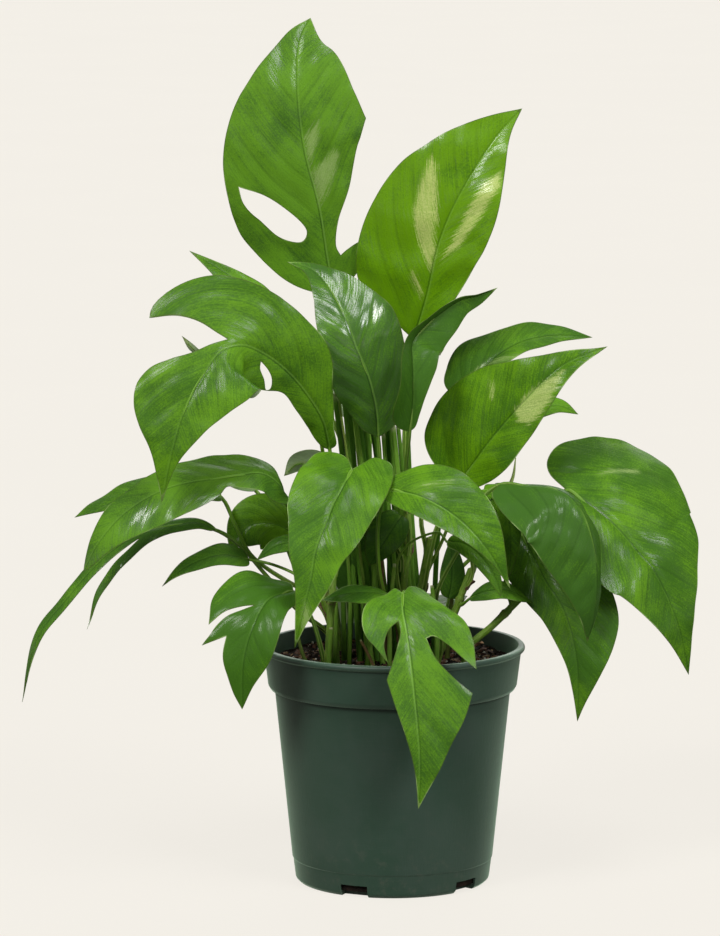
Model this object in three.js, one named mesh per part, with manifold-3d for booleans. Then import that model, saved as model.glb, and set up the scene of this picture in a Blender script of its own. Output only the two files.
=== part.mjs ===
// Potted dragon tail plant: a nursery pot, its potting mix, short stems and long-stalked leaves.
// Millimetres, +Z up, front towards -Y. The origin is on the pot's axis, at its underside.
import * as THREE from "three";
import { mergeVertices } from "three/addons/utils/BufferGeometryUtils.js";
import Module from "manifold-3d";

// Driving dimensions of the pot
const POT_HEIGHT = 149;
const LIP_RADIUS = 82.5;
const BAND_TOP_RADIUS = 80.2;
const BAND_LOW_RADIUS = 77.6;
const BAND_LOW_Z = 121.5;
const WALL_TOP_RADIUS = 73.6;
const BASE_RADIUS = 60.6;
const WALL_THICKNESS = 1.8;
const FLOOR_THICKNESS = 3;
const POT_SIDES = 40;
const NOTCH_COUNT = 5;
const NOTCH_WIDTH = 18;
const NOTCH_HEIGHT = 7.5;
const NOTCH_FIRST_ANGLE = -23.6;

// Driving dimensions of the plant
const MIX_TOP_Z = 138;
const MIX_RELIEF = 2;
const MIX_SIDES = 32;
const GAP = 0.3;
const BLADE_THICKNESS = 0.8;
const STEM_SIDES = 7;
const STEM_RADIUS = 2.8;
const NODE_SWELL = 0.9;
const NODE_SPACING = 32;
const STEM_FOOT_Z = 118;
const STALK_SIDES = 5;
const STALK_STEP = 16;
const STALK_RADIUS = 1.9;
const STALK_TOP_RADIUS = 1.6;
const KEEL_END_RADIUS = 0.6;
const KEEL_SHARE = 0.4;

const wasm = await Module();
wasm.setup();

function standard(color, roughness) {
  return new THREE.MeshStandardMaterial({ color, roughness, metalness: 0 });
}

function solidOf(geometry) {
  const bare = geometry.clone();
  bare.deleteAttribute("normal");
  bare.deleteAttribute("uv");
  const merged = mergeVertices(bare, 1e-4);
  return new wasm.Manifold(new wasm.Mesh({
    numProp: 3,
    vertProperties: new Float32Array(merged.attributes.position.array),
    triVerts: new Uint32Array(merged.index.array),
  }));
}

function geometryOf(solid) {
  const mesh = solid.getMesh();
  const geometry = new THREE.BufferGeometry();
  const positions = new Float32Array(mesh.vertProperties);
  geometry.setAttribute("position", new THREE.BufferAttribute(positions, 3));
  geometry.setIndex(new THREE.BufferAttribute(new Uint32Array(mesh.triVerts), 1));
  geometry.computeVertexNormals();
  return geometry;
}

// The body that is left when a cut leaves crumbs beside it
function largest(solid) {
  const bodies = solid.decompose();
  return bodies.reduce((best, body) => (body.volume() > best.volume() ? body : best));
}

const plant = new THREE.Group();

function addPart(name, solid, material) {
  const mesh = new THREE.Mesh(geometryOf(solid), material);
  mesh.name = name;
  plant.add(mesh);
}

function lathe(profile, sides) {
  const points = profile.map(([radius, z]) => new THREE.Vector2(radius, z));
  return new THREE.LatheGeometry(points, sides).rotateX(Math.PI / 2);
}

// Pot: one thin wall with a taller rim band, a lip, and drain notches through the corner of the floor
function makePot() {
  const ridgeZ = 14.5;
  const wallSlope = (WALL_TOP_RADIUS - BASE_RADIUS) / BAND_LOW_Z;
  const wallRadius = (z) => BASE_RADIUS + wallSlope * z;
  const lipDrop = 4;
  const outside = [
    [0, 0],
    [BASE_RADIUS - 2, 0],
    [BASE_RADIUS, 2],
    [wallRadius(ridgeZ), ridgeZ],
    [wallRadius(ridgeZ) + 0.5, ridgeZ + 0.5],
    [WALL_TOP_RADIUS, BAND_LOW_Z + 0.5],
    [BAND_LOW_RADIUS - 1.5, BAND_LOW_Z],
    [BAND_LOW_RADIUS, BAND_LOW_Z + 2.5],
    [BAND_TOP_RADIUS, POT_HEIGHT - lipDrop],
    [LIP_RADIUS, POT_HEIGHT - lipDrop + 1.2],
    [LIP_RADIUS, POT_HEIGHT - 1],
    [LIP_RADIUS - 1, POT_HEIGHT],
  ];
  const inside = [
    [BAND_TOP_RADIUS - WALL_THICKNESS, POT_HEIGHT],
    [BAND_LOW_RADIUS - WALL_THICKNESS, BAND_LOW_Z + 3],
    [WALL_TOP_RADIUS - WALL_THICKNESS, BAND_LOW_Z - 1],
    [wallRadius(FLOOR_THICKNESS) - WALL_THICKNESS, FLOOR_THICKNESS],
    [0, FLOOR_THICKNESS],
  ];
  let pot = solidOf(lathe([...outside, ...inside], POT_SIDES));
  const notchDepth = 14;
  for (let i = 0; i < NOTCH_COUNT; i += 1) {
    const angle = THREE.MathUtils.degToRad(NOTCH_FIRST_ANGLE + (i * 360) / NOTCH_COUNT);
    const notch = new THREE.BoxGeometry(NOTCH_WIDTH, notchDepth, 2 * NOTCH_HEIGHT);
    notch.translate(0, -(BASE_RADIUS - 1), 0).rotateZ(angle);
    pot = pot.subtract(solidOf(notch));
  }
  return pot;
}

// Potting mix: fills the pot to under the lip, with an uneven top
function mixHeight(x, y) {
  const broad = Math.sin(x * 0.07 + 1) * Math.cos(y * 0.06);
  const fine = 0.5 * Math.sin(x * 0.21) * Math.sin(y * 0.24 + 2);
  return MIX_TOP_Z + MIX_RELIEF * (broad + fine);
}

function makeMix() {
  const rimRadius = BAND_LOW_RADIUS - WALL_THICKNESS - GAP + 0.8;
  const stepRadius = WALL_TOP_RADIUS - WALL_THICKNESS - GAP;
  const floorRadius = BASE_RADIUS + 0.3 - WALL_THICKNESS - GAP;
  const floorZ = FLOOR_THICKNESS + GAP;
  const side = [
    [0, floorZ],
    [floorRadius, floorZ],
    [stepRadius, BAND_LOW_Z - 1],
    [BAND_LOW_RADIUS - WALL_THICKNESS - GAP, BAND_LOW_Z + 4],
  ];
  const top = [rimRadius, 66, 55, 44, 33, 22, 11, 0].map((radius) => [radius, MIX_TOP_Z]);
  const geometry = lathe([...side, ...top], MIX_SIDES);
  const spots = geometry.attributes.position;
  for (let i = 0; i < spots.count; i += 1) {
    if (spots.getZ(i) > MIX_TOP_Z - 1) {
      spots.setZ(i, mixHeight(spots.getX(i), spots.getY(i)));
    }
  }
  return solidOf(geometry);
}

function curveThrough(points) {
  const spots = points.map((p) => new THREE.Vector3(...p));
  const curve = new THREE.CatmullRomCurve3(spots, false, "centripetal");
  curve.arcLengthDivisions = 400;
  return curve;
}

// A closed round rod along a curve, with a radius for each share of its length
function rod(curve, radiusAt, sides, step) {
  const rings = Math.max(3, Math.ceil(curve.getLength() / step));
  const frames = curve.computeFrenetFrames(rings, false);
  const positions = [];
  for (let i = 0; i <= rings; i += 1) {
    const centre = curve.getPointAt(i / rings);
    const radius = radiusAt(i / rings);
    for (let k = 0; k < sides; k += 1) {
      const angle = (k * 2 * Math.PI) / sides;
      const spot = centre.clone();
      spot.addScaledVector(frames.normals[i], radius * Math.cos(angle));
      spot.addScaledVector(frames.binormals[i], radius * Math.sin(angle));
      positions.push(spot.x, spot.y, spot.z);
    }
  }
  const faces = [];
  for (let i = 0; i < rings; i += 1) {
    for (let k = 0; k < sides; k += 1) {
      const a = i * sides + k;
      const b = i * sides + ((k + 1) % sides);
      faces.push(a, b, b + sides, a, b + sides, a + sides);
    }
  }
  for (let k = 1; k < sides - 1; k += 1) {
    const last = rings * sides;
    faces.push(0, k + 1, k, last, last + k, last + k + 1);
  }
  const geometry = new THREE.BufferGeometry();
  geometry.setAttribute("position", new THREE.Float32BufferAttribute(positions, 3));
  geometry.setIndex(faces);
  return solidOf(geometry);
}

// Stems: soil point to top, each a short upright shoot that swells at its nodes
const STEMS = {
  front_left: [[-42, -49, STEM_FOOT_Z], [-40, -48, 150], [-38, -45, 180], [-36, -40, 212]],
  centre: [[4, -16, STEM_FOOT_Z], [5, -15, 150], [7, -12, 190], [10, -8, 216], [8, -5, 243]],
  right: [[24, -12, STEM_FOOT_Z], [29, -13, 145], [38, -15, 170], [49, -17, 200]],
  far_right: [[42, -22, STEM_FOOT_Z], [47, -24, 150], [62, -25, 165], [80, -24, 183]],
  left: [[-34, -8, STEM_FOOT_Z], [-36, -8, 150], [-42, -8, 180], [-50, -8, 205]],
  back: [[-8, 26, STEM_FOOT_Z], [-9, 26, 150], [-12, 25, 190], [-16, 24, 232]],
  back_right: [[12, 14, STEM_FOOT_Z], [14, 13, 150], [18, 12, 185], [24, 12, 215]],
  back_left: [[-32, 32, STEM_FOOT_Z], [-34, 33, 150], [-38, 34, 180], [-40, 34, 206]],
};

function makeStem(points, swell) {
  const curve = curveThrough(points);
  const length = curve.getLength();
  const radiusAt = (share) => {
    const fromNode = Math.abs(((share * length) / NODE_SPACING) % 1 - 0.5) * 2;
    return STEM_RADIUS + swell + NODE_SWELL * Math.max(0, fromNode - 0.6) * 2.5;
  };
  return rod(curve, radiusAt, STEM_SIDES, NODE_SPACING / 3);
}

function stemPointAt(points, z) {
  const curve = curveThrough(points);
  let share = 0;
  while (share < 1 && curve.getPointAt(share).z < z) {
    share += 0.01;
  }
  return curve.getPointAt(Math.min(share, 1));
}

// Flat outline of a blade. Its points are [along the midrib, out from it] in millimetres, and a third
// value of 1 makes a sharp corner. Right and left are as seen on the upper face with the tip up.
function smoothRun(run, step) {
  if (run.length < 3) {
    return run.map((p) => new THREE.Vector2(p[1], p[0]));
  }
  const curve = curveThrough(run.map(([along, out]) => [out, along, 0]));
  const points = [];
  run.slice(1).forEach((end, i) => {
    const reach = Math.hypot(end[0] - run[i][0], end[1] - run[i][1]);
    const parts = Math.max(1, Math.round(reach / step));
    for (let k = 0; k < parts; k += 1) {
      points.push(curve.getPoint((i + k / parts) / (run.length - 1)));
    }
  });
  points.push(curve.getPoint(1));
  return points.map((p) => new THREE.Vector2(p.x, p.y));
}

function smoothChain(chain, step) {
  const points = [];
  let run = [chain[0]];
  for (const point of chain.slice(1)) {
    run.push(point);
    if (point[2] === 1 || point === chain.at(-1)) {
      points.push(...smoothRun(run, step).slice(0, -1));
      run = [point];
    }
  }
  return points;
}

function bladeLoop(leaf, length, step) {
  const right = leaf.right.map(([along, out, corner]) => [along, out, corner]);
  const left = leaf.left.map(([along, out, corner]) => [along, -out, corner]).reverse();
  return smoothChain([[0, 0, 1], ...right, [length, 0, 1], ...left, [0, 0, 1]], step);
}

function isInside(p, loop) {
  let inside = false;
  for (let i = 0, j = loop.length - 1; i < loop.length; j = i, i += 1) {
    const [a, b] = [loop[i], loop[j]];
    if (a.y > p.y !== b.y > p.y && p.x < ((b.x - a.x) * (p.y - a.y)) / (b.y - a.y) + a.x) {
      inside = !inside;
    }
  }
  return inside;
}

function distanceToLoop(p, loop) {
  let nearest = Infinity;
  loop.forEach((a, i) => {
    const b = loop[(i + 1) % loop.length];
    const edge = b.clone().sub(a);
    const share = THREE.MathUtils.clamp(p.clone().sub(a).dot(edge) / edge.lengthSq(), 0, 1);
    nearest = Math.min(nearest, a.clone().addScaledVector(edge, share).distanceTo(p));
  });
  return nearest;
}

function innerPoints(loops, length, step) {
  const clear = (p, gap) => {
    const within = loops.filter((loop) => isInside(p, loop)).length === 1;
    return within && isInside(p, loops[0]) && loops.every((loop) => distanceToLoop(p, loop) > gap);
  };
  const points = [];
  for (let along = step; along < length; along += step) {
    points.push(new THREE.Vector2(0.02, along));
  }
  const rowStep = step * 1.1;
  for (let row = -4; row * rowStep < length; row += 1) {
    for (let column = -8; column <= 8; column += 1) {
      const x = (column + (row % 2 === 0 ? 0.5 : 0)) * step * 1.3;
      if (Math.abs(x) > step * 0.6) {
        points.push(new THREE.Vector2(x, row * rowStep));
      }
    }
  }
  return points.filter((p) => clear(p, step * 0.4));
}

const turn = (a, b, c) => (b.x - a.x) * (c.y - a.y) - (b.y - a.y) * (c.x - a.x);

function insideCircle(a, b, c, p) {
  const rows = [a, b, c].map((q) => [q.x - p.x, q.y - p.y, (q.x - p.x) ** 2 + (q.y - p.y) ** 2]);
  const [u, v, w] = rows;
  return u[0] * (v[1] * w[2] - v[2] * w[1]) - u[1] * (v[0] * w[2] - v[2] * w[0])
    + u[2] * (v[0] * w[1] - v[1] * w[0]) > 1e-6;
}

// Swaps the shared edge of two triangles wherever that makes both of them rounder
function relax(points, triangles) {
  for (let pass = 0; pass < 80; pass += 1) {
    const edges = new Map();
    const touched = new Set();
    let swaps = 0;
    triangles.forEach((triangle, index) => {
      for (let k = 0; k < 3; k += 1) {
        edges.set(`${triangle[k]},${triangle[(k + 1) % 3]}`, [index, triangle[(k + 2) % 3]]);
      }
    });
    for (const [key, [first, apex]] of edges) {
      const [u, v] = key.split(",").map(Number);
      const twin = edges.get(`${v},${u}`);
      if (!twin || touched.has(first) || touched.has(twin[0])) {
        continue;
      }
      const [second, far] = twin;
      const [pu, pv, pa, pf] = [u, v, apex, far].map((i) => points[i]);
      const convex = turn(pa, pu, pf) > 1e-9 && turn(pf, pv, pa) > 1e-9;
      if (convex && insideCircle(pu, pv, pa, pf)) {
        triangles[first] = [apex, u, far];
        triangles[second] = [far, v, apex];
        touched.add(first).add(second);
        swaps += 1;
      }
    }
    if (swaps === 0) {
      return;
    }
  }
}

// Triangles of a flat outline with its holes and inner points
function triangulate(loops, inner) {
  const points = loops.flat();
  const triangles = THREE.ShapeUtils.triangulateShape(loops[0], loops.slice(1)).map(([a, b, c]) => (
    turn(points[a], points[b], points[c]) > 0 ? [a, b, c] : [a, c, b]
  ));
  relax(points, triangles);
  for (const p of inner) {
    const home = triangles.findIndex(([a, b, c]) => (
      turn(points[a], points[b], p) > 1e-6
      && turn(points[b], points[c], p) > 1e-6
      && turn(points[c], points[a], p) > 1e-6
    ));
    if (home >= 0) {
      const [a, b, c] = triangles[home];
      const index = points.push(p) - 1;
      triangles[home] = [a, b, index];
      triangles.push([b, c, index], [c, a, index]);
    }
  }
  relax(points, triangles);
  return { points, triangles };
}

// How far a blade reaches sideways and sinks at a distance from its midrib. The bend is
// [fold at the midrib, curl per mm, roll per mm squared] in degrees, positive away from the face.
function crossSection(distance, [fold, curl, roll]) {
  const steps = 12;
  let sideways = 0;
  let rise = 0;
  for (let k = 0; k < steps; k += 1) {
    const s = (distance * (k + 0.5)) / steps;
    const angle = THREE.MathUtils.degToRad(fold + curl * s + roll * s * s);
    sideways += (Math.cos(angle) * distance) / steps;
    rise -= (Math.sin(angle) * distance) / steps;
  }
  return [sideways, rise];
}

function midribFrame(leaf, curve, length, along) {
  const share = THREE.MathUtils.clamp(along / length, 0, 1);
  const tangent = curve.getTangentAt(share);
  const facing = new THREE.Vector3(...leaf.facing[0]).lerp(new THREE.Vector3(...leaf.facing[1]), share);
  const normal = facing.addScaledVector(tangent, -facing.dot(tangent)).normalize();
  const side = tangent.clone().cross(normal);
  const centre = curve.getPointAt(share).addScaledVector(tangent, along - share * length);
  return { centre, tangent, normal, side };
}

function bladePoint(leaf, curve, length, x, y) {
  const { centre, normal, side } = midribFrame(leaf, curve, length, y);
  const [atBase, atTip] = x >= 0 ? leaf.bendRight : leaf.bendLeft;
  const share = THREE.MathUtils.clamp(y / length, 0, 1);
  const bend = atBase.map((value, i) => THREE.MathUtils.lerp(value, (atTip ?? atBase)[i], share));
  const [sideways, rise] = crossSection(Math.abs(x), bend);
  return centre.addScaledVector(side, Math.sign(x) * sideways).addScaledVector(normal, rise);
}

// Blade: the flat outline, bent onto its midrib and given a thickness
function makeBlade(leaf) {
  const curve = curveThrough(leaf.midrib);
  const length = curve.getLength();
  const step = THREE.MathUtils.clamp(length / 11, 6, 12);
  const holes = (leaf.holes ?? []).map((hole) => smoothChain([...hole, hole[0]], step));
  const loops = [bladeLoop(leaf, length, step), ...holes];
  const { points, triangles } = triangulate(loops, innerPoints(loops, length, step * 1.25));
  const spot = (x, y) => bladePoint(leaf, curve, length, x, y);
  const probe = 0.5;
  const upper = [];
  const lower = [];
  for (const { x, y } of points) {
    const across = spot(x + probe, y).sub(spot(x - probe, y));
    const along = spot(x, y + probe).sub(spot(x, y - probe));
    const offset = across.cross(along).setLength(BLADE_THICKNESS / 2);
    upper.push(...spot(x, y).add(offset).toArray());
    lower.push(...spot(x, y).sub(offset).toArray());
  }
  const n = points.length;
  const faces = [];
  const edges = new Set();
  for (const [a, b, c] of triangles) {
    faces.push(a, b, c, n + a, n + c, n + b);
    edges.add(`${a},${b}`).add(`${b},${c}`).add(`${c},${a}`);
  }
  for (const edge of edges) {
    const [u, v] = edge.split(",").map(Number);
    if (!edges.has(`${v},${u}`)) {
      faces.push(v, u, n + u, v, n + u, n + v);
    }
  }
  const geometry = new THREE.BufferGeometry();
  geometry.setAttribute("position", new THREE.Float32BufferAttribute([...upper, ...lower], 3));
  geometry.setIndex(faces);
  return solidOf(geometry);
}

// Leaf stalk: rises from its stem, carries the blade and runs out as a keel under the midrib
function makeStalk(leaf) {
  const curve = curveThrough(leaf.midrib);
  const length = curve.getLength();
  const scale = leaf.stout ?? 1;
  const stem = STEMS[leaf.stem];
  const first = new THREE.Vector3(...(leaf.stalk[0] ?? leaf.midrib[0]));
  const foot = stemPointAt(stem, leaf.height);
  const collar = stemPointAt(stem, leaf.height + 9);
  const outward = first.clone().sub(foot).setZ(0).normalize();
  foot.addScaledVector(outward, STEM_RADIUS * 0.8);
  collar.addScaledVector(outward, STEM_RADIUS + STALK_RADIUS * scale * 0.75);
  const keel = [0.12, 0.26, KEEL_SHARE].map((share) => {
    const { centre, normal } = midribFrame(leaf, curve, length, share * length);
    return centre.addScaledVector(normal, -STALK_TOP_RADIUS * scale * (0.7 - share)).toArray();
  });
  const base = midribFrame(leaf, curve, length, 0);
  const neck = base.centre.addScaledVector(base.normal, -STALK_TOP_RADIUS * scale * 0.7).toArray();
  const path = curveThrough([foot.toArray(), collar.toArray(), ...leaf.stalk, neck, ...keel]);
  const keelStart = 1 - (KEEL_SHARE * length) / path.getLength();
  const radiusAt = (share) => {
    const onKeel = THREE.MathUtils.clamp((share - keelStart) / (1 - keelStart), 0, 1);
    const onStalk = THREE.MathUtils.clamp(share / keelStart, 0, 1);
    const stalk = THREE.MathUtils.lerp(STALK_RADIUS, STALK_TOP_RADIUS, onStalk);
    return scale * THREE.MathUtils.lerp(stalk, KEEL_END_RADIUS, onKeel);
  };
  return rod(path, radiusAt, STALK_SIDES, STALK_STEP);
}

// A plain heart-shaped outline for the leaves that have no slits
function heart(length, halfWidth) {
  const shape = [[-0.07, 0.3], [-0.05, 0.68], [0.12, 1], [0.35, 0.98], [0.62, 0.66], [0.84, 0.27]];
  return shape.map(([along, out]) => [along * length, out * halfWidth]);
}

const PLAIN_BEND = [[-8, 0.6, 0]];

const LEAVES = [
  {
    name: "leaf_crown_split",
    stem: "back",
    height: 205,
    stalk: [[-21, 26, 262], [-30, 34, 320]],
    midrib: [[-36, 37, 365], [-40, 34, 382], [-46, 27, 420], [-55, 23, 456], [-59, 24, 491],
      [-58, 34, 522], [-51, 40, 536]],
    facing: [[-0.1, -1, 0.1], [0.1, -1, 0.35]],
    bendRight: [[-8, 0.3, 0]],
    bendLeft: [[-8, 0.3, 0]],
    right: [[10, 17], [20, 21], [31, 23], [27, 13], [24, 9, 1], [30, 7], [47, 11], [67, 23], [91, 34],
      [108, 41, 1], [129, 35], [159, 22]],
    left: [[3, 11], [13, 26], [31, 43], [50, 52], [90, 52], [117, 43], [141, 27], [158, 13]],
    holes: [[[82, -45], [73, -31], [58, -19], [42, -10], [36, -14], [41, -27], [56, -38], [72, -45]]],
  },
  {
    name: "leaf_crown_pale",
    stem: "centre",
    height: 222,
    stalk: [[7, 6, 262], [9, 19, 306]],
    midrib: [[13, 25, 337], [21, 17, 365], [29, 12, 400], [41, 10, 428], [64, 16, 464], [80, 22, 481]],
    facing: [[-0.25, -1, 0.15], [-0.1, -1, 0.3]],
    bendRight: [[-10, 0.4, 0]],
    bendLeft: [[-10, 0.4, 0]],
    right: [[17, 10], [35, 19], [71, 29], [100, 27], [125, 17], [150, 5]],
    left: [[6, 13], [15, 29], [26, 45], [54, 50], [73, 48], [96, 43], [112, 35], [128, 26], [147, 12]],
  },
  {
    name: "leaf_centre_curled",
    stem: "centre",
    height: 196,
    stalk: [[-6, -14, 226], [-7, -14, 252]],
    midrib: [[-9, -18, 281], [-11, -24, 302], [-16, -30, 322], [-23, -33, 339], [-28, -31, 353],
      [-37, -20, 371], [-50, -10, 384], [-65, -2, 388]],
    facing: [[0, -1, 0.1], [0.1, -0.6, 0.9]],
    bendRight: [[-4, 0, -0.1], [-4, 0.6, -0.005]],
    bendLeft: [[-5, 0.6, 0]],
    right: [[3, 5], [8, 11], [17, 15], [29, 19], [40, 24], [52, 29], [62, 31], [75, 30], [88, 25], [106, 15], [122, 6]],
    left: [[7, 10], [22, 18], [43, 23], [59, 21], [80, 19], [105, 12], [124, 5]],
  },
  {
    name: "leaf_upper_right_folded",
    stem: "centre",
    height: 232,
    stalk: [[8, -22, 262]],
    midrib: [[10, -36, 287], [12, -37, 305], [12, -36, 326], [12, -31, 341], [18, -24, 349], [29, -15, 357],
      [41, -4, 364], [53, 8, 366], [65, 18, 370]],
    facing: [[-0.15, -1, 0.15], [0.2, -1, 0.3]],
    bendRight: [[6, 0.3, 0]],
    bendLeft: [[-52, -0.5, 0], [-75, -0.5, 0]],
    right: [[3, 3], [12, 5], [20, 7], [29, 10.5], [39, 14.5], [55, 18.5], [67, 18.5], [83, 15], [101, 10],
      [118, 5.5]],
    left: [[2, 8], [7, 15], [14, 19], [26, 18], [40, 13], [54, 9], [70, 7], [95, 5], [118, 2.5]],
  },
  {
    name: "leaf_right_upper_back",
    stem: "back_right",
    height: 196,
    stalk: [[18, 20, 225], [26, 24, 255], [38, 26, 285]],
    midrib: [[48, 28, 306], [61, 30, 322], [80, 33, 334], [102, 36, 338], [125, 36, 337]],
    facing: [[-0.2, -0.6, 0.8], [0, -0.5, 0.85]],
    bendRight: [[-6, 0.8, 0]],
    bendLeft: [[-6, 0.8, 0]],
    right: [[-2, 7], [8, 10], [30, 10], [52, 10], [72, 6]],
    left: [[-9, 8], [-7, 20], [2, 28], [15, 30], [30, 24], [49, 17], [65, 11], [79, 5]],
  },
  {
    name: "leaf_right_upper_front",
    stem: "back_right",
    height: 172,
    stalk: [[24, 4, 205], [30, 0, 228]],
    midrib: [[45, -8, 256], [57, -16, 275], [79, -22, 302], [104, -22, 326], [132, -14, 337]],
    facing: [[-0.3, -1, 0.3], [-0.1, -1, 0.5]],
    bendRight: [[-8, 0.5, 0]],
    bendLeft: [[-8, 0.5, 0]],
    right: [[-3, 8], [5, 14], [23, 20], [45, 19], [70, 15], [91, 10], [111, 4]],
    left: [[-8, 10], [-7, 25], [2, 38], [20, 43], [42, 41], [60, 34], [75, 23], [92, 11], [113, 3]],
  },
  {
    name: "leaf_right_behind",
    stem: "back_right",
    height: 184,
    stalk: [[32, 8, 215], [46, 12, 255], [56, 13, 272]],
    midrib: [[67, 14, 280], [86, 20, 292], [103, 24, 295], [116, 24, 290]],
    facing: [[0, -0.6, 0.8], [0, -0.6, 0.8]],
    bendRight: [[-8, 0.6, 0]],
    bendLeft: [[-8, 0.6, 0]],
    right: [[-3, 6], [8, 10], [26, 9], [44, 5]],
    left: [[-3, 6], [8, 14], [24, 13], [42, 7]],
    stout: 0.75,
  },
  {
    name: "leaf_right_large",
    stem: "far_right",
    height: 180,
    stalk: [[92, -10, 190], [100, -3, 215]],
    midrib: [[107, -6, 247], [126, -20, 236], [140, -28, 224], [151, -33, 211], [160, -35, 201],
      [175, -34, 168], [183, -26, 134]],
    facing: [[0.1, -0.75, 0.65], [0.55, -0.8, 0.2]],
    bendRight: [[-8, 0.6, 0]],
    bendLeft: [[-8, 0.6, 0]],
    right: [[-6, 12], [6, 26], [28, 36], [52, 36], [72, 32], [97, 22], [126, 9]],
    left: [[-16, 3], [-24, 10], [-27, 22], [-24, 36], [-17, 51], [-8, 62], [6, 69], [27, 69], [39, 66],
      [51, 58], [62, 53], [72, 48], [78, 42], [84, 35], [94, 27], [112, 15], [130, 7]],
  },
  {
    name: "leaf_right_dark",
    stem: "right",
    height: 140,
    stalk: [[27, -19, 182], [42, -28, 216], [52, -36, 243]],
    midrib: [[66, -36, 255], [78, -42, 255], [93, -50, 255], [106, -56, 251], [114, -60, 242],
      [121, -62, 224], [124, -62, 202], [123, -58, 179], [119, -52, 159]],
    facing: [[0, -0.7, 0.7], [0.3, -0.9, 0.1]],
    bendRight: [[-6, 0.7, 0]],
    bendLeft: [[50, 1, 0]],
    right: [[-3, 8], [5, 19], [20, 30], [44, 39], [66, 37], [90, 31], [110, 20], [128, 9]],
    left: [[-6, 5], [5, 10], [20, 14], [43, 15], [70, 14], [95, 12], [118, 7], [134, 3]],
  },
  {
    name: "leaf_right_low",
    stem: "far_right",
    height: 166,
    stalk: [[70, -10, 188], [74, -3, 206]],
    midrib: [[77, -8, 222], [84, -15, 211], [94, -28, 193], [105, -36, 176], [113, -40, 146], [114, -34, 106]],
    facing: [[-0.2, -0.8, 0.6], [-0.2, -1, 0.2]],
    bendRight: [[-8, 0.6, 0]],
    bendLeft: [[-8, 0.6, 0]],
    right: [[-5, 8], [2, 16], [14, 20], [25, 20], [45, 17], [64, 14], [79, 11], [95, 7], [120, 2]],
    left: [[-4, 9], [8, 18], [20, 27], [32, 31], [53, 32], [74, 31], [88, 24], [101, 15], [118, 6]],
  },
  {
    name: "leaf_front_right",
    stem: "centre",
    height: 158,
    stalk: [[-4, -22, 181], [-9, -37, 206], [-8, -45, 240]],
    midrib: [[-3, -50, 253], [12, -60, 252], [24, -66, 248], [40, -71, 238], [56, -73, 221], [71, -68, 195]],
    facing: [[0.1, -0.8, 0.6], [0.2, -0.95, 0.2]],
    bendRight: [[-8, 0.6, 0]],
    bendLeft: [[-8, 0.6, 0]],
    right: [[-3, 5], [4, 9], [21, 14], [44, 13], [65, 8], [88, 2]],
    left: [[-4, 5], [1, 12], [10, 19], [24, 25], [40, 26], [61, 20], [80, 11], [95, 4]],
  },
  {
    name: "leaf_front_right_behind",
    stem: "right",
    height: 186,
    stalk: [[46, -18, 220], [48, -17, 240]],
    midrib: [[56, -20, 249], [63, -27, 247], [68, -31, 240], [71, -32, 230], [72, -31, 213], [71, -29, 194]],
    facing: [[0.2, -0.8, 0.6], [0.1, -1, 0.1]],
    bendRight: [[-8, 0.6, 0]],
    bendLeft: [[-8, 0.6, 0]],
    right: [[-2, 4], [6, 9], [20, 11], [38, 9], [54, 5]],
    left: [[-2, 4], [8, 7], [22, 8], [38, 7], [53, 4]],
    stout: 0.75,
  },
  {
    name: "leaf_front_heart",
    stem: "front_left",
    height: 198,
    stalk: [[-30, -36, 232], [-26, -38, 254]],
    midrib: [[-25, -45, 265], [-29, -56, 259], [-36, -66, 247], [-41, -73, 235], [-47, -79, 220],
      [-50, -82, 203], [-57, -82, 175], [-60, -78, 160]],
    facing: [[0, -0.75, 0.65], [0, -1, 0.05]],
    bendRight: [[-8, 0.5, 0]],
    bendLeft: [[-8, 0.5, 0]],
    right: [[-8, 6], [-10, 14], [-4, 24], [8, 28], [24, 29], [42, 26], [63, 17], [85, 9], [108, 3]],
    left: [[-9, 5], [-17, 10], [-16, 19], [-5, 25], [12, 27], [32, 26], [56, 21], [80, 13], [104, 5]],
  },
  {
    name: "leaf_front_split",
    stem: "centre",
    height: 166,
    stalk: [[10, -30, 184], [8, -48, 190]],
    midrib: [[6, -62, 191], [6, -80, 183], [9, -92, 167], [13, -103, 133], [16, -105, 96], [15, -100, 65]],
    facing: [[0, -0.6, 0.8], [0, -1, 0]],
    bendRight: [[-6, 0.4, 0]],
    bendLeft: [[-6, 0.4, 0]],
    right: [[-5, 5], [2, 11], [14, 22], [24, 26], [34, 25], [43, 20], [53, 14, 1], [41, 15], [32, 11],
      [27, 4, 1], [34, 4], [45, 8], [63, 16, 1], [77, 13], [98, 8], [122, 3]],
    left: [[-7, 4], [-5, 11], [8, 20], [22, 28], [33, 36], [45, 39], [62, 39, 1], [54, 31], [45, 23],
      [39, 15], [40, 11, 1], [53, 15], [65, 24], [76, 35, 1], [90, 29], [104, 20], [127, 8]],
  },
  {
    name: "leaf_front_low",
    stem: "centre",
    height: 150,
    stalk: [[-1, -28, 174]],
    midrib: [[-3, -40, 187], [-14, -45, 189], [-28, -50, 189], [-44, -52, 185]],
    facing: [[0, -0.35, 0.95], [0, -0.35, 0.95]],
    bendRight: [[-5, 0.8, 0]],
    bendLeft: [[-5, 0.8, 0]],
    right: [[4, 6], [14, 9], [28, 7]],
    left: [[4, 8], [14, 14], [26, 14], [36, 8]],
    stout: 0.75,
  },
  {
    name: "leaf_left_low_split",
    stem: "front_left",
    height: 140,
    stalk: [[-51, -50, 176]],
    midrib: [[-61, -52, 191], [-76, -68, 188], [-85, -78, 174], [-91, -81, 153], [-92, -78, 122]],
    facing: [[-0.3, -0.7, 0.6], [-0.1, -1, 0.1]],
    bendRight: [[-6, 0.5, 0]],
    bendLeft: [[-6, 0.5, 0]],
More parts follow.
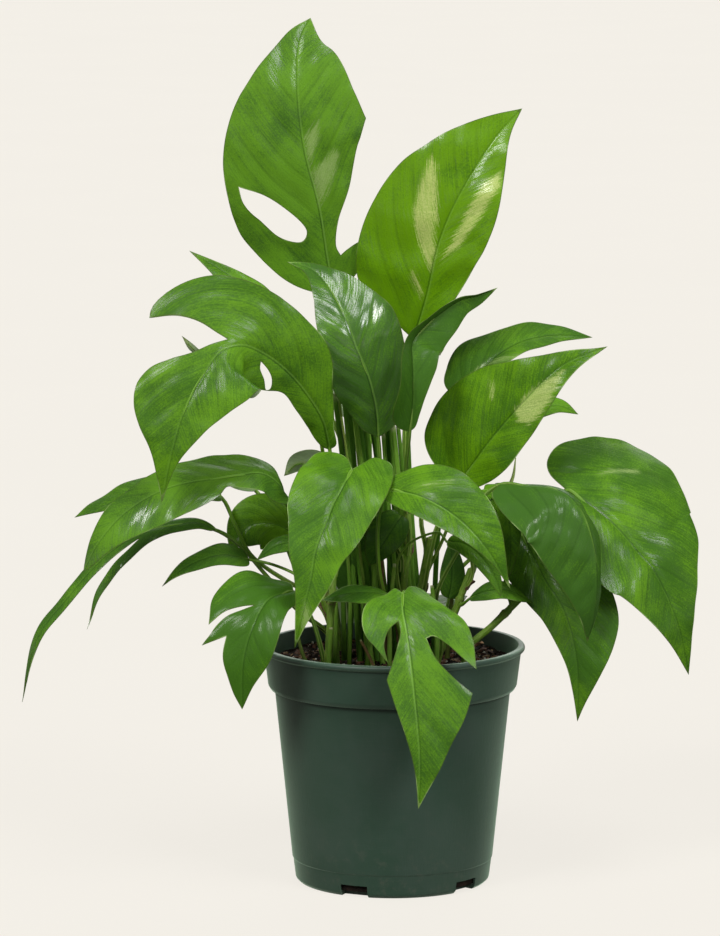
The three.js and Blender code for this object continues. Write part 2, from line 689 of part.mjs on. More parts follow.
    right: [[-4, 6], [0, 15], [9, 24], [22, 30], [34, 32], [50, 27, 1], [46, 24.5], [39, 19.5], [33, 11.5],
      [30, 5, 1], [34, 9.5], [41, 17], [49, 22], [55, 24], [61, 27, 1], [53, 14, 1], [64, 13], [75, 9], [86, 5]],
    left: [[-2, 6], [8, 12], [20, 15], [36, 17], [52, 18], [66, 15], [82, 6]],
  },
  {
    name: "leaf_left_arching",
    stem: "left",
    height: 194,
    stalk: [[-57, -14, 226]],
    midrib: [[-64, -25, 240], [-68, -34, 252], [-80, -42, 262], [-100, -50, 261], [-136, -60, 256],
      [-163, -64, 241], [-179, -64, 223], [-189, -60, 204]],
    facing: [[-0.1, -0.5, 0.85], [-0.3, -0.6, 0.75]],
    bendRight: [[-4, 0.5, 0]],
    bendLeft: [[12, 1, 0]],
    right: [[2, 5], [15, 9], [28, 16], [44, 22], [65, 23], [90, 19], [117, 15], [140, 11], [162, 4]],
    left: [[3, 8], [16, 14], [34, 14], [50, 10], [58, 7], [64, 12], [78, 18], [100, 21], [124, 18],
      [148, 10], [164, 4]],
  },
  {
    name: "leaf_left_behind",
    stem: "left",
    height: 170,
    stalk: [[-64, -4, 188], [-88, 0, 205], [-98, 2, 224]],
    midrib: [[-106, 4, 241], [-120, -2, 246], [-141, -8, 248], [-165, -12, 243], [-181, -12, 237],
      [-197, -10, 230]],
    facing: [[0, -0.45, 0.9], [0, -0.45, 0.9]],
    bendRight: [[-4, 0.6, 0]],
    bendLeft: [[-4, 0.6, 0]],
    right: [[2, 7], [20, 13], [45, 15], [68, 13], [84, 8]],
    left: [[2, 6], [12, 10], [32, 14], [54, 12], [77, 7]],
  },
  {
    name: "leaf_far_left_narrow",
    stem: "left",
    height: 148,
    stalk: [[-58, -14, 172], [-78, -15, 194], [-96, -13, 214]],
    midrib: [[-109, -12, 223], [-121, -16, 228], [-135, -20, 227], [-155, -26, 223], [-177, -30, 209],
      [-201, -34, 183], [-219, -36, 159], [-229, -32, 118]],
    facing: [[-0.2, -0.35, 0.9], [-0.7, -0.4, 0.5]],
    bendRight: [[-4, 0.5, 0]],
    bendLeft: [[14, 1, 0]],
    right: [[3, 3], [14, 5], [34, 6], [58, 5], [88, 6], [120, 6], [150, 4], [170, 2]],
    left: [[4, 4], [14, 6], [32, 7], [46, 10], [63, 14], [84, 17], [101, 20], [117, 26, 1], [98, 15],
      [80, 10], [62, 7], [52, 4, 1], [70, 5], [95, 5], [122, 5], [150, 3], [168, 1]],
  },
  {
    name: "leaf_left_small",
    stem: "front_left",
    height: 172,
    stalk: [[-56, -36, 196], [-74, -26, 203]],
    midrib: [[-89, -22, 206], [-105, -30, 210], [-122, -36, 206], [-135, -38, 198], [-142, -36, 191]],
    facing: [[0, -0.5, 0.85], [0, -0.5, 0.85]],
    bendRight: [[-4, 0.6, 0]],
    bendLeft: [[-4, 0.6, 0]],
    right: [[2, 8], [12, 11], [24, 9], [40, 6], [52, 3]],
    left: [[2, 7], [10, 11], [22, 10], [38, 7], [52, 3]],
    stout: 0.75,
  },
  {
    name: "leaf_left_round",
    stem: "left",
    height: 184,
    stalk: [[-54, -1, 212]],
    midrib: [[-62, -2, 220], [-73, 4, 224], [-88, 8, 223], [-102, 6, 209]],
    facing: [[-0.2, -0.95, 0.3], [-0.3, -0.95, 0.1]],
    bendRight: [[-8, 0.8, 0]],
    bendLeft: [[-8, 0.8, 0]],
    right: [[0, 9], [9, 16], [24, 18], [36, 12], [45, 5]],
    left: [[0, 9], [10, 15], [24, 17], [38, 12], [45, 5]],
    stout: 0.75,
  },
  {
    name: "leaf_left_tucked",
    stem: "front_left",
    height: 188,
    stalk: [[-50, -36, 213]],
    midrib: [[-61, -33, 219], [-73, -37, 216], [-84, -35, 207]],
    facing: [[0, -0.6, 0.8], [0, -0.6, 0.8]],
    bendRight: [[-8, 0.6, 0]],
    bendLeft: [[-8, 0.6, 0]],
    right: [[0, 5], [8, 6], [18, 4]],
    left: [[0, 7], [8, 8], [19, 4]],
    stout: 0.75,
  },
  {
    name: "leaf_left_underside",
    stem: "back_left",
    height: 190,
    stalk: [[-32, 14, 226]],
    midrib: [[-27, 6, 242], [-42, 18, 254], [-58, 28, 259], [-68, 32, 250]],
    facing: [[0.1, 0.8, 0.6], [0.1, 0.8, 0.6]],
    bendRight: [[-8, 0.6, 0]],
    bendLeft: [[-8, 0.6, 0]],
    right: [[2, 9], [14, 15], [32, 14], [46, 7]],
    left: [[2, 9], [14, 14], [30, 14], [44, 7]],
  },
  {
    name: "leaf_upper_left_split",
    stem: "front_left",
    height: 208,
    stalk: [[-38, -27, 243]],
    midrib: [[-39, -30, 275], [-43, -40, 294], [-51, -47, 309], [-65, -56, 327], [-80, -63, 339],
      [-92, -69, 344], [-104, -75, 341], [-114, -81, 328], [-126, -87, 306], [-133, -89, 283],
      [-140, -84, 250]],
    facing: [[-0.2, -0.9, 0.4], [-0.1, -1, 0.2]],
    bendRight: [[-6, 0.4, 0]],
    bendLeft: [[-4, 0.3, 0]],
    right: [[4, 5], [18, 6], [39, 16], [51, 25], [62, 30], [74, 32], [86, 35], [95, 38], [104, 47],
      [112, 51], [117, 52], [120, 49, 1], [116, 36], [113, 23], [110, 11], [107, 5, 1], [112, 6], [122, 12],
      [133, 22], [143, 31], [153, 34], [162, 31], [172, 24], [187, 12], [202, 5]],
    left: [[3, 4], [14, 9], [38, 11], [55, 11], [66, 17], [76, 21], [88, 24], [98, 30], [110, 35], [126, 33],
      [146, 25], [168, 15], [186, 6], [202, 2]],
    holes: [[[83, -5], [75, -7], [69, -10], [65, -15], [67, -17], [74, -13], [81, -9]]],
  },
  {
    name: "leaf_upper_left_back",
    stem: "back",
    height: 190,
    stalk: [[-22, 40, 240], [-44, 34, 300], [-66, 24, 340]],
    midrib: [[-81, 30, 361], [-92, 32, 370], [-106, 36, 379], [-127, 40, 391]],
    facing: [[0, -0.8, 0.6], [0, -0.8, 0.6]],
    bendRight: [[-8, 0.6, 0]],
    bendLeft: [[-8, 0.6, 0]],
    right: [[-5, 6], [4, 8], [20, 6], [38, 3]],
    left: [[-3, 8], [8, 12], [22, 11], [40, 5]],
  },
  {
    name: "leaf_inner_curled",
    stem: "centre",
    height: 206,
    stalk: [[9, -18, 226]],
    midrib: [[5, -21, 233], [-2, -26, 223], [-8, -28, 214], [-15, -25, 202]],
    facing: [[0.3, -0.9, 0.3], [0.2, -0.9, 0.3]],
    bendRight: [[-8, 1.5, 0]],
    bendLeft: [[-8, 1.5, 0]],
    right: [[0, 6], [8, 12], [20, 12], [32, 6]],
    left: [[0, 6], [8, 10], [18, 10], [30, 6]],
    stout: 0.75,
  },
  {
    name: "leaf_inner_upright",
    stem: "right",
    height: 146,
    stalk: [[33, -6, 166]],
    midrib: [[35, -4, 178], [37, -5, 190], [37, -5, 205], [36, -3, 216]],
    facing: [[0, -1, 0.1], [0, -1, 0.1]],
    bendRight: [[-8, 1, 0]],
    bendLeft: [[-8, 1, 0]],
    right: [[2, 6], [14, 8], [28, 5]],
    left: [[2, 5], [14, 8], [28, 5]],
    stout: 0.75,
  },
  {
    name: "leaf_inner_shaded",
    stem: "back",
    height: 156,
    stalk: [[-16, 10, 172]],
    midrib: [[-22, 0, 186], [-26, -4, 204], [-27, -5, 222], [-25, -3, 234]],
    facing: [[0, -1, 0.1], [0, -1, 0.1]],
    plain: 14,
  },
  {
    name: "leaf_right_level",
    stem: "right",
    height: 168,
    stalk: [[42, -24, 177]],
    midrib: [[47, -31, 183], [57, -37, 188], [70, -40, 189], [86, -38, 181]],
    facing: [[0, -0.5, 0.85], [0, -0.5, 0.85]],
    bendRight: [[-6, 0.6, 0]],
    bendLeft: [[-6, 0.6, 0]],
    right: [[4, 6], [16, 10], [30, 8]],
    left: [[4, 5], [16, 8], [30, 6]],
    stout: 0.75,
  },
  {
    name: "leaf_front_drooping",
    stem: "centre",
    height: 172,
    stalk: [[4, -23, 188], [3, -24, 205], [10, -26, 216], [20, -30, 222], [29, -34, 224]],
    midrib: [[33, -37, 219], [42, -42, 219], [51, -48, 214], [58, -52, 206], [63, -53, 197], [66, -53, 187]],
    facing: [[0, -0.8, 0.6], [0, -0.9, 0.2]],
    bendRight: [[-8, 0.8, 0]],
    bendLeft: [[-8, 0.8, 0]],
    right: [[2, 4], [14, 7], [32, 6], [46, 3]],
    left: [[2, 4], [14, 7], [32, 6], [46, 3]],
    stout: 0.6,
  },
  {
    name: "leaf_back_upright",
    stem: "back",
    height: 218,
    stalk: [[-14, 36, 262]],
    midrib: [[-14, 44, 292], [-18, 58, 320], [-24, 78, 342], [-30, 100, 350]],
    facing: [[0, 0.5, 0.85], [0, 0.7, 0.7]],
    plain: 30,
  },
  {
    name: "leaf_back_far_right",
    stem: "back_right",
    height: 160,
    stalk: [[46, 24, 196], [82, 28, 228]],
    midrib: [[104, 34, 238], [122, 50, 236], [138, 72, 222], [148, 92, 196]],
    facing: [[0.3, 0.4, 0.85], [0.5, 0.6, 0.6]],
    plain: 30,
  },
  {
    name: "leaf_back_right",
    stem: "back_right",
    height: 204,
    stalk: [[34, 26, 236], [40, 34, 254]],
    midrib: [[48, 42, 268], [62, 62, 284], [76, 86, 290], [90, 110, 280]],
    facing: [[0.2, 0.3, 0.9], [0.3, 0.7, 0.7]],
    plain: 28,
  },
  {
    name: "leaf_back_middle",
    stem: "back",
    height: 176,
    stalk: [[-16, 42, 216]],
    midrib: [[-20, 58, 232], [-24, 82, 240], [-28, 108, 234], [-30, 132, 210]],
    facing: [[0, 0.3, 0.95], [0, 0.8, 0.6]],
    plain: 28,
  },
  {
    name: "leaf_back_left_upper",
    stem: "back_left",
    height: 198,
    stalk: [[-42, 38, 250], [-50, 38, 300]],
    midrib: [[-58, 40, 329], [-90, 60, 329], [-112, 70, 321], [-124, 72, 324], [-133, 70, 334]],
    facing: [[-0.1, 0.2, 0.95], [-0.2, 0.4, 0.9]],
    plain: 18,
  },
  {
    name: "leaf_back_low_right",
    stem: "back_right",
    height: 142,
    stalk: [[18, 26, 158]],
    midrib: [[22, 40, 166], [28, 66, 168], [32, 94, 160], [35, 112, 134]],
    facing: [[0.1, 0.3, 0.95], [0.2, 0.9, 0.4]],
    plain: 20,
  },
  {
    name: "leaf_back_low_left",
    stem: "back_left",
    height: 146,
    stalk: [[-38, 42, 162]],
    midrib: [[-37, 50, 170], [-34, 66, 174], [-30, 84, 170], [-28, 100, 152], [-27, 106, 130]],
    facing: [[0, 0.3, 0.95], [0, 0.9, 0.4]],
    plain: 25,
  },
  {
    name: "leaf_back_left",
    stem: "left",
    height: 160,
    stalk: [[-58, 6, 190], [-72, 16, 222]],
    midrib: [[-86, 26, 243], [-104, 42, 250], [-124, 58, 249], [-144, 70, 242]],
    facing: [[-0.2, 0.3, 0.95], [-0.4, 0.5, 0.8]],
    plain: 22,
  },
];

// A rolled new leaf that stands at the right stem's top, thickest at its middle and drawn out to a tip
const NEW_LEAF = [[49.6, -12.7, 196], [55, -9, 214], [65, -8, 236], [74, -8, 254], [76, -8, 267]];
const NEW_LEAF_RADIUS = 2.3;
const NEW_LEAF_SIDES = 6;

function makeNewLeaf() {
  const radiusAt = (share) => 0.35 + (NEW_LEAF_RADIUS - 0.35) * Math.sin(Math.PI * (0.25 + 0.75 * share));
  return rod(curveThrough(NEW_LEAF), radiusAt, NEW_LEAF_SIDES, STALK_STEP / 2);
}

const stemSolids = Object.fromEntries(
  Object.entries(STEMS).map(([name, points]) => [name, makeStem(points, 0)]),
);
const stemHoles = Object.fromEntries(
  Object.entries(STEMS).map(([name, points]) => [name, makeStem(points, GAP)]),
);

const potGreen = standard(0x2d4b3c, 0.5);
const mixBrown = standard(0x2f2018, 0.95);
const stemGreen = standard(0x7d9b45, 0.5);
const leafGreen = standard(0x4a8c28, 0.38);

addPart("pot", makePot(), potGreen);
const pierced = Object.values(stemHoles).reduce((mix, hole) => mix.subtract(hole), makeMix());
addPart("potting_mix", largest(pierced), mixBrown);
for (const [name, solid] of Object.entries(stemSolids)) {
  addPart(`stem_${name}`, solid, stemGreen);
}
addPart("new_leaf_rolled", largest(makeNewLeaf().subtract(stemHoles.right)), stemGreen);
for (const leaf of LEAVES) {
  if (leaf.plain) {
    const outline = heart(curveThrough(leaf.midrib).getLength(), leaf.plain);
    Object.assign(leaf, { right: outline, left: outline, bendRight: PLAIN_BEND, bendLeft: PLAIN_BEND });
  }
  const whole = makeBlade(leaf).add(makeStalk(leaf));
  addPart(leaf.name, largest(whole.subtract(stemHoles[leaf.stem])), leafGreen);
}

export default plant;
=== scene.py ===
"""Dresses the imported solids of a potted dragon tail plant.

Sizes in the tables are millimetres in the part's own frame: the origin is on the pot's axis at its
underside, +Z is up and -Y is the front. Meshes are made in metres.
"""

import math
import random

import bpy
import numpy as np
from bpy.props import FloatProperty, FloatVectorProperty, IntProperty, PointerProperty
from mathutils import Matrix, Vector, geometry, noise


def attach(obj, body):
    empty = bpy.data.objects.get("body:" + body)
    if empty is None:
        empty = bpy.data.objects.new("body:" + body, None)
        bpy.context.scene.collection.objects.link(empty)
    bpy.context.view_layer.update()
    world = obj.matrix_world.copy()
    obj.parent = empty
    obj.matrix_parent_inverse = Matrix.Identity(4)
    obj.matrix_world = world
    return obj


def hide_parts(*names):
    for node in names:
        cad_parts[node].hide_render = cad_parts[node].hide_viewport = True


bl_info = {
    "name": "Potted Dragon Tail Plant",
    "version": (1, 0, 0),
    "blender": (4, 5, 0),
    "location": "View3D > Sidebar > Plant",
    "description": "Builds a potted dragon tail plant: pot, mix, stems and split leaves",
    "category": "Add Mesh",
}

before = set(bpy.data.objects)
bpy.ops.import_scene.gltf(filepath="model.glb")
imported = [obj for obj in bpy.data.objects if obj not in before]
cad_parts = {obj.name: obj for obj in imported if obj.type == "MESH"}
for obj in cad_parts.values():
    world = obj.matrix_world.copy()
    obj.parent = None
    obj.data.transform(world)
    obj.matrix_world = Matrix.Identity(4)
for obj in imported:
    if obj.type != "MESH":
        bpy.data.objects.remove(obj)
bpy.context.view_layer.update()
MM = 0.001

# Pot, as in the part's source
POT_HEIGHT = 149
LIP_RADIUS = 82.5
BAND_TOP_RADIUS = 80.2
BAND_LOW_RADIUS = 77.6
BAND_LOW_Z = 121.5
WALL_TOP_RADIUS = 73.6
BASE_RADIUS = 60.6
WALL_THICKNESS = 1.8
LIP_WIDTH = 4.1
FLOOR_THICKNESS = 3
RIDGE_Z = 14.5
NOTCH_COUNT = 5
NOTCH_WIDTH = 18
NOTCH_HEIGHT = 7.5
NOTCH_DEPTH = 14
NOTCH_FIRST_ANGLE = -23.6

# Potting mix
MIX_TOP_Z = 138
MIX_RELIEF = 2
MIX_ROUGHNESS = 1.1
GAP = 0.3

# Stems and leaf stalks
NODE_SPACING = 32
STEM_RADIUS = 2.1
STEM_FOOT_Z = 118
STALK_RADIUS = 1.5
STALK_TOP_RADIUS = 1.15
KEEL_END_RADIUS = 0.3
COLLAR_RISE = 9
GROOVE_ANGLE = 0.5
UPRIGHT_FRONT = (0, -1, 0)
STEMS = {
    "front_left": ((-42, -49, STEM_FOOT_Z), (-40, -48, 150), (-38, -45, 180), (-36, -40, 212)),
    "centre": (
        (4, -16, STEM_FOOT_Z), (5, -15, 150), (7, -12, 190), (10, -8, 216), (8, -5, 243),
    ),
    "right": ((24, -12, STEM_FOOT_Z), (29, -13, 145), (38, -15, 170), (49, -17, 200)),
    "far_right": ((42, -22, STEM_FOOT_Z), (47, -24, 150), (62, -25, 165), (80, -24, 183)),
    "left": ((-34, -8, STEM_FOOT_Z), (-36, -8, 150), (-42, -8, 180), (-50, -8, 205)),
    "back": ((-8, 26, STEM_FOOT_Z), (-9, 26, 150), (-12, 25, 190), (-16, 24, 232)),
    "back_right": ((12, 14, STEM_FOOT_Z), (14, 13, 150), (18, 12, 185), (24, 12, 215)),
    "back_left": ((-32, 32, STEM_FOOT_Z), (-34, 33, 150), (-38, 34, 180), (-40, 34, 206)),
}
NEW_LEAF = ((49.6, -12.7, 196), (55, -9, 214), (65, -8, 236), (74, -8, 254), (76, -8, 267))

# Old stalks that stand cut or dry among the stems: foot, top, radius, age from green to dry, shade,
# which is painted shade, deeper for stalks in the plant's shadowed middle
OLD_STALKS = (
    ((-40, -52, 137), (-38, -52, 168), 1.6, 0.1, 0),
    ((-27, -10, 137), (-28, -14, 211), 1.3, 0.45, 0.3),
    ((-20, 0, 137), (-20, 1, 206), 1.7, 0.35, 0.5),
    ((-16, -20, 137), (-11, -19, 212), 1.6, 0.2, 0.2),
    ((-4, -6, 137), (-7, -4, 205), 1.3, 0.85, 0.4),
    ((-2, -31, 137), (1, -29, 204), 1.4, 0.5, 0.2),
    ((-36, -22, 137), (-37, -18, 196), 1.4, 0.3, 0.1),
    ((-17, 10, 137), (-15, 12, 190), 1.8, 0.7, 0.7),
    ((14, -38, 137), (19, -33, 178), 1.4, 0.6, 0.2),
    ((27, -30, 137), (24, -26, 190), 1.5, 0.3, 0.2),
    ((-50, -44, 137), (-59, -38, 164), 1.2, 0.55, 0.2),
    ((-9, -48, 137), (-20, -50, 160), 1, 0.9, 0.2),
    ((34, 6, 137), (37, 10, 196), 1.5, 0.6, 0.5),
    ((2, 8, 137), (-2, 12, 214), 1.6, 0.4, 0.6),
    ((-12, -22, 137), (-34, -19, 309), 0.9, 0.5, 0),
    ((-15, -12, 137), (-31, -4, 312), 1.4, 0.1, 0.5),
    ((-9, -8, 137), (-28, 0, 308), 1.8, 0.1, 0.75),
    ((-6, -18, 137), (-25, -6, 304), 1.6, 0.05, 0.1),
    ((-2, 2, 137), (-22, 2, 304), 1.8, 0.15, 0.8),
    ((1, -8, 137), (-17, 1, 292), 1.5, 0.1, 0.5),
    ((4, 6, 137), (-12, 4, 289), 2, 0.15, 0.85),
    ((9, 0, 137), (-6, 2, 282), 1.5, 0.1, 0.45),
    ((9, 10, 137), (-4, 7, 290), 2, 0.2, 0.85),
    ((17, 4, 137), (3, 4, 288), 1.5, 0.1, 0.5),
    ((20, 16, 137), (9, 14, 286), 1.8, 0.2, 0.7),
    ((-28, 14, 137), (-24, 16, 232), 1.9, 0.3, 0.8),
    ((-38, 6, 137), (-40, 8, 222), 1.7, 0.2, 0.7),
    ((26, 18, 137), (30, 20, 236), 1.7, 0.3, 0.8),
    ((-20, -4, 137), (-36, 2, 306), 1.8, 0.1, 0.6),
    ((-18, 6, 137), (-35, 8, 314), 2, 0.1, 0.9),
    ((-3, 12, 137), (-20, 8, 300), 2.2, 0.1, 0.9),
    ((5, 12, 137), (-14, 8, 296), 2.2, 0.1, 0.8),
    ((13, 8, 137), (-1, 2, 292), 2.2, 0.1, 0.6),
    ((14, -2, 137), (0, -6, 288), 1.9, 0.1, 0.3),
    ((-30, 4, 137), (-33, 8, 226), 1.6, 0.1, 0.5),
    ((-12, -34, 137), (-14, -30, 178), 1.5, 0.05, 0),
)
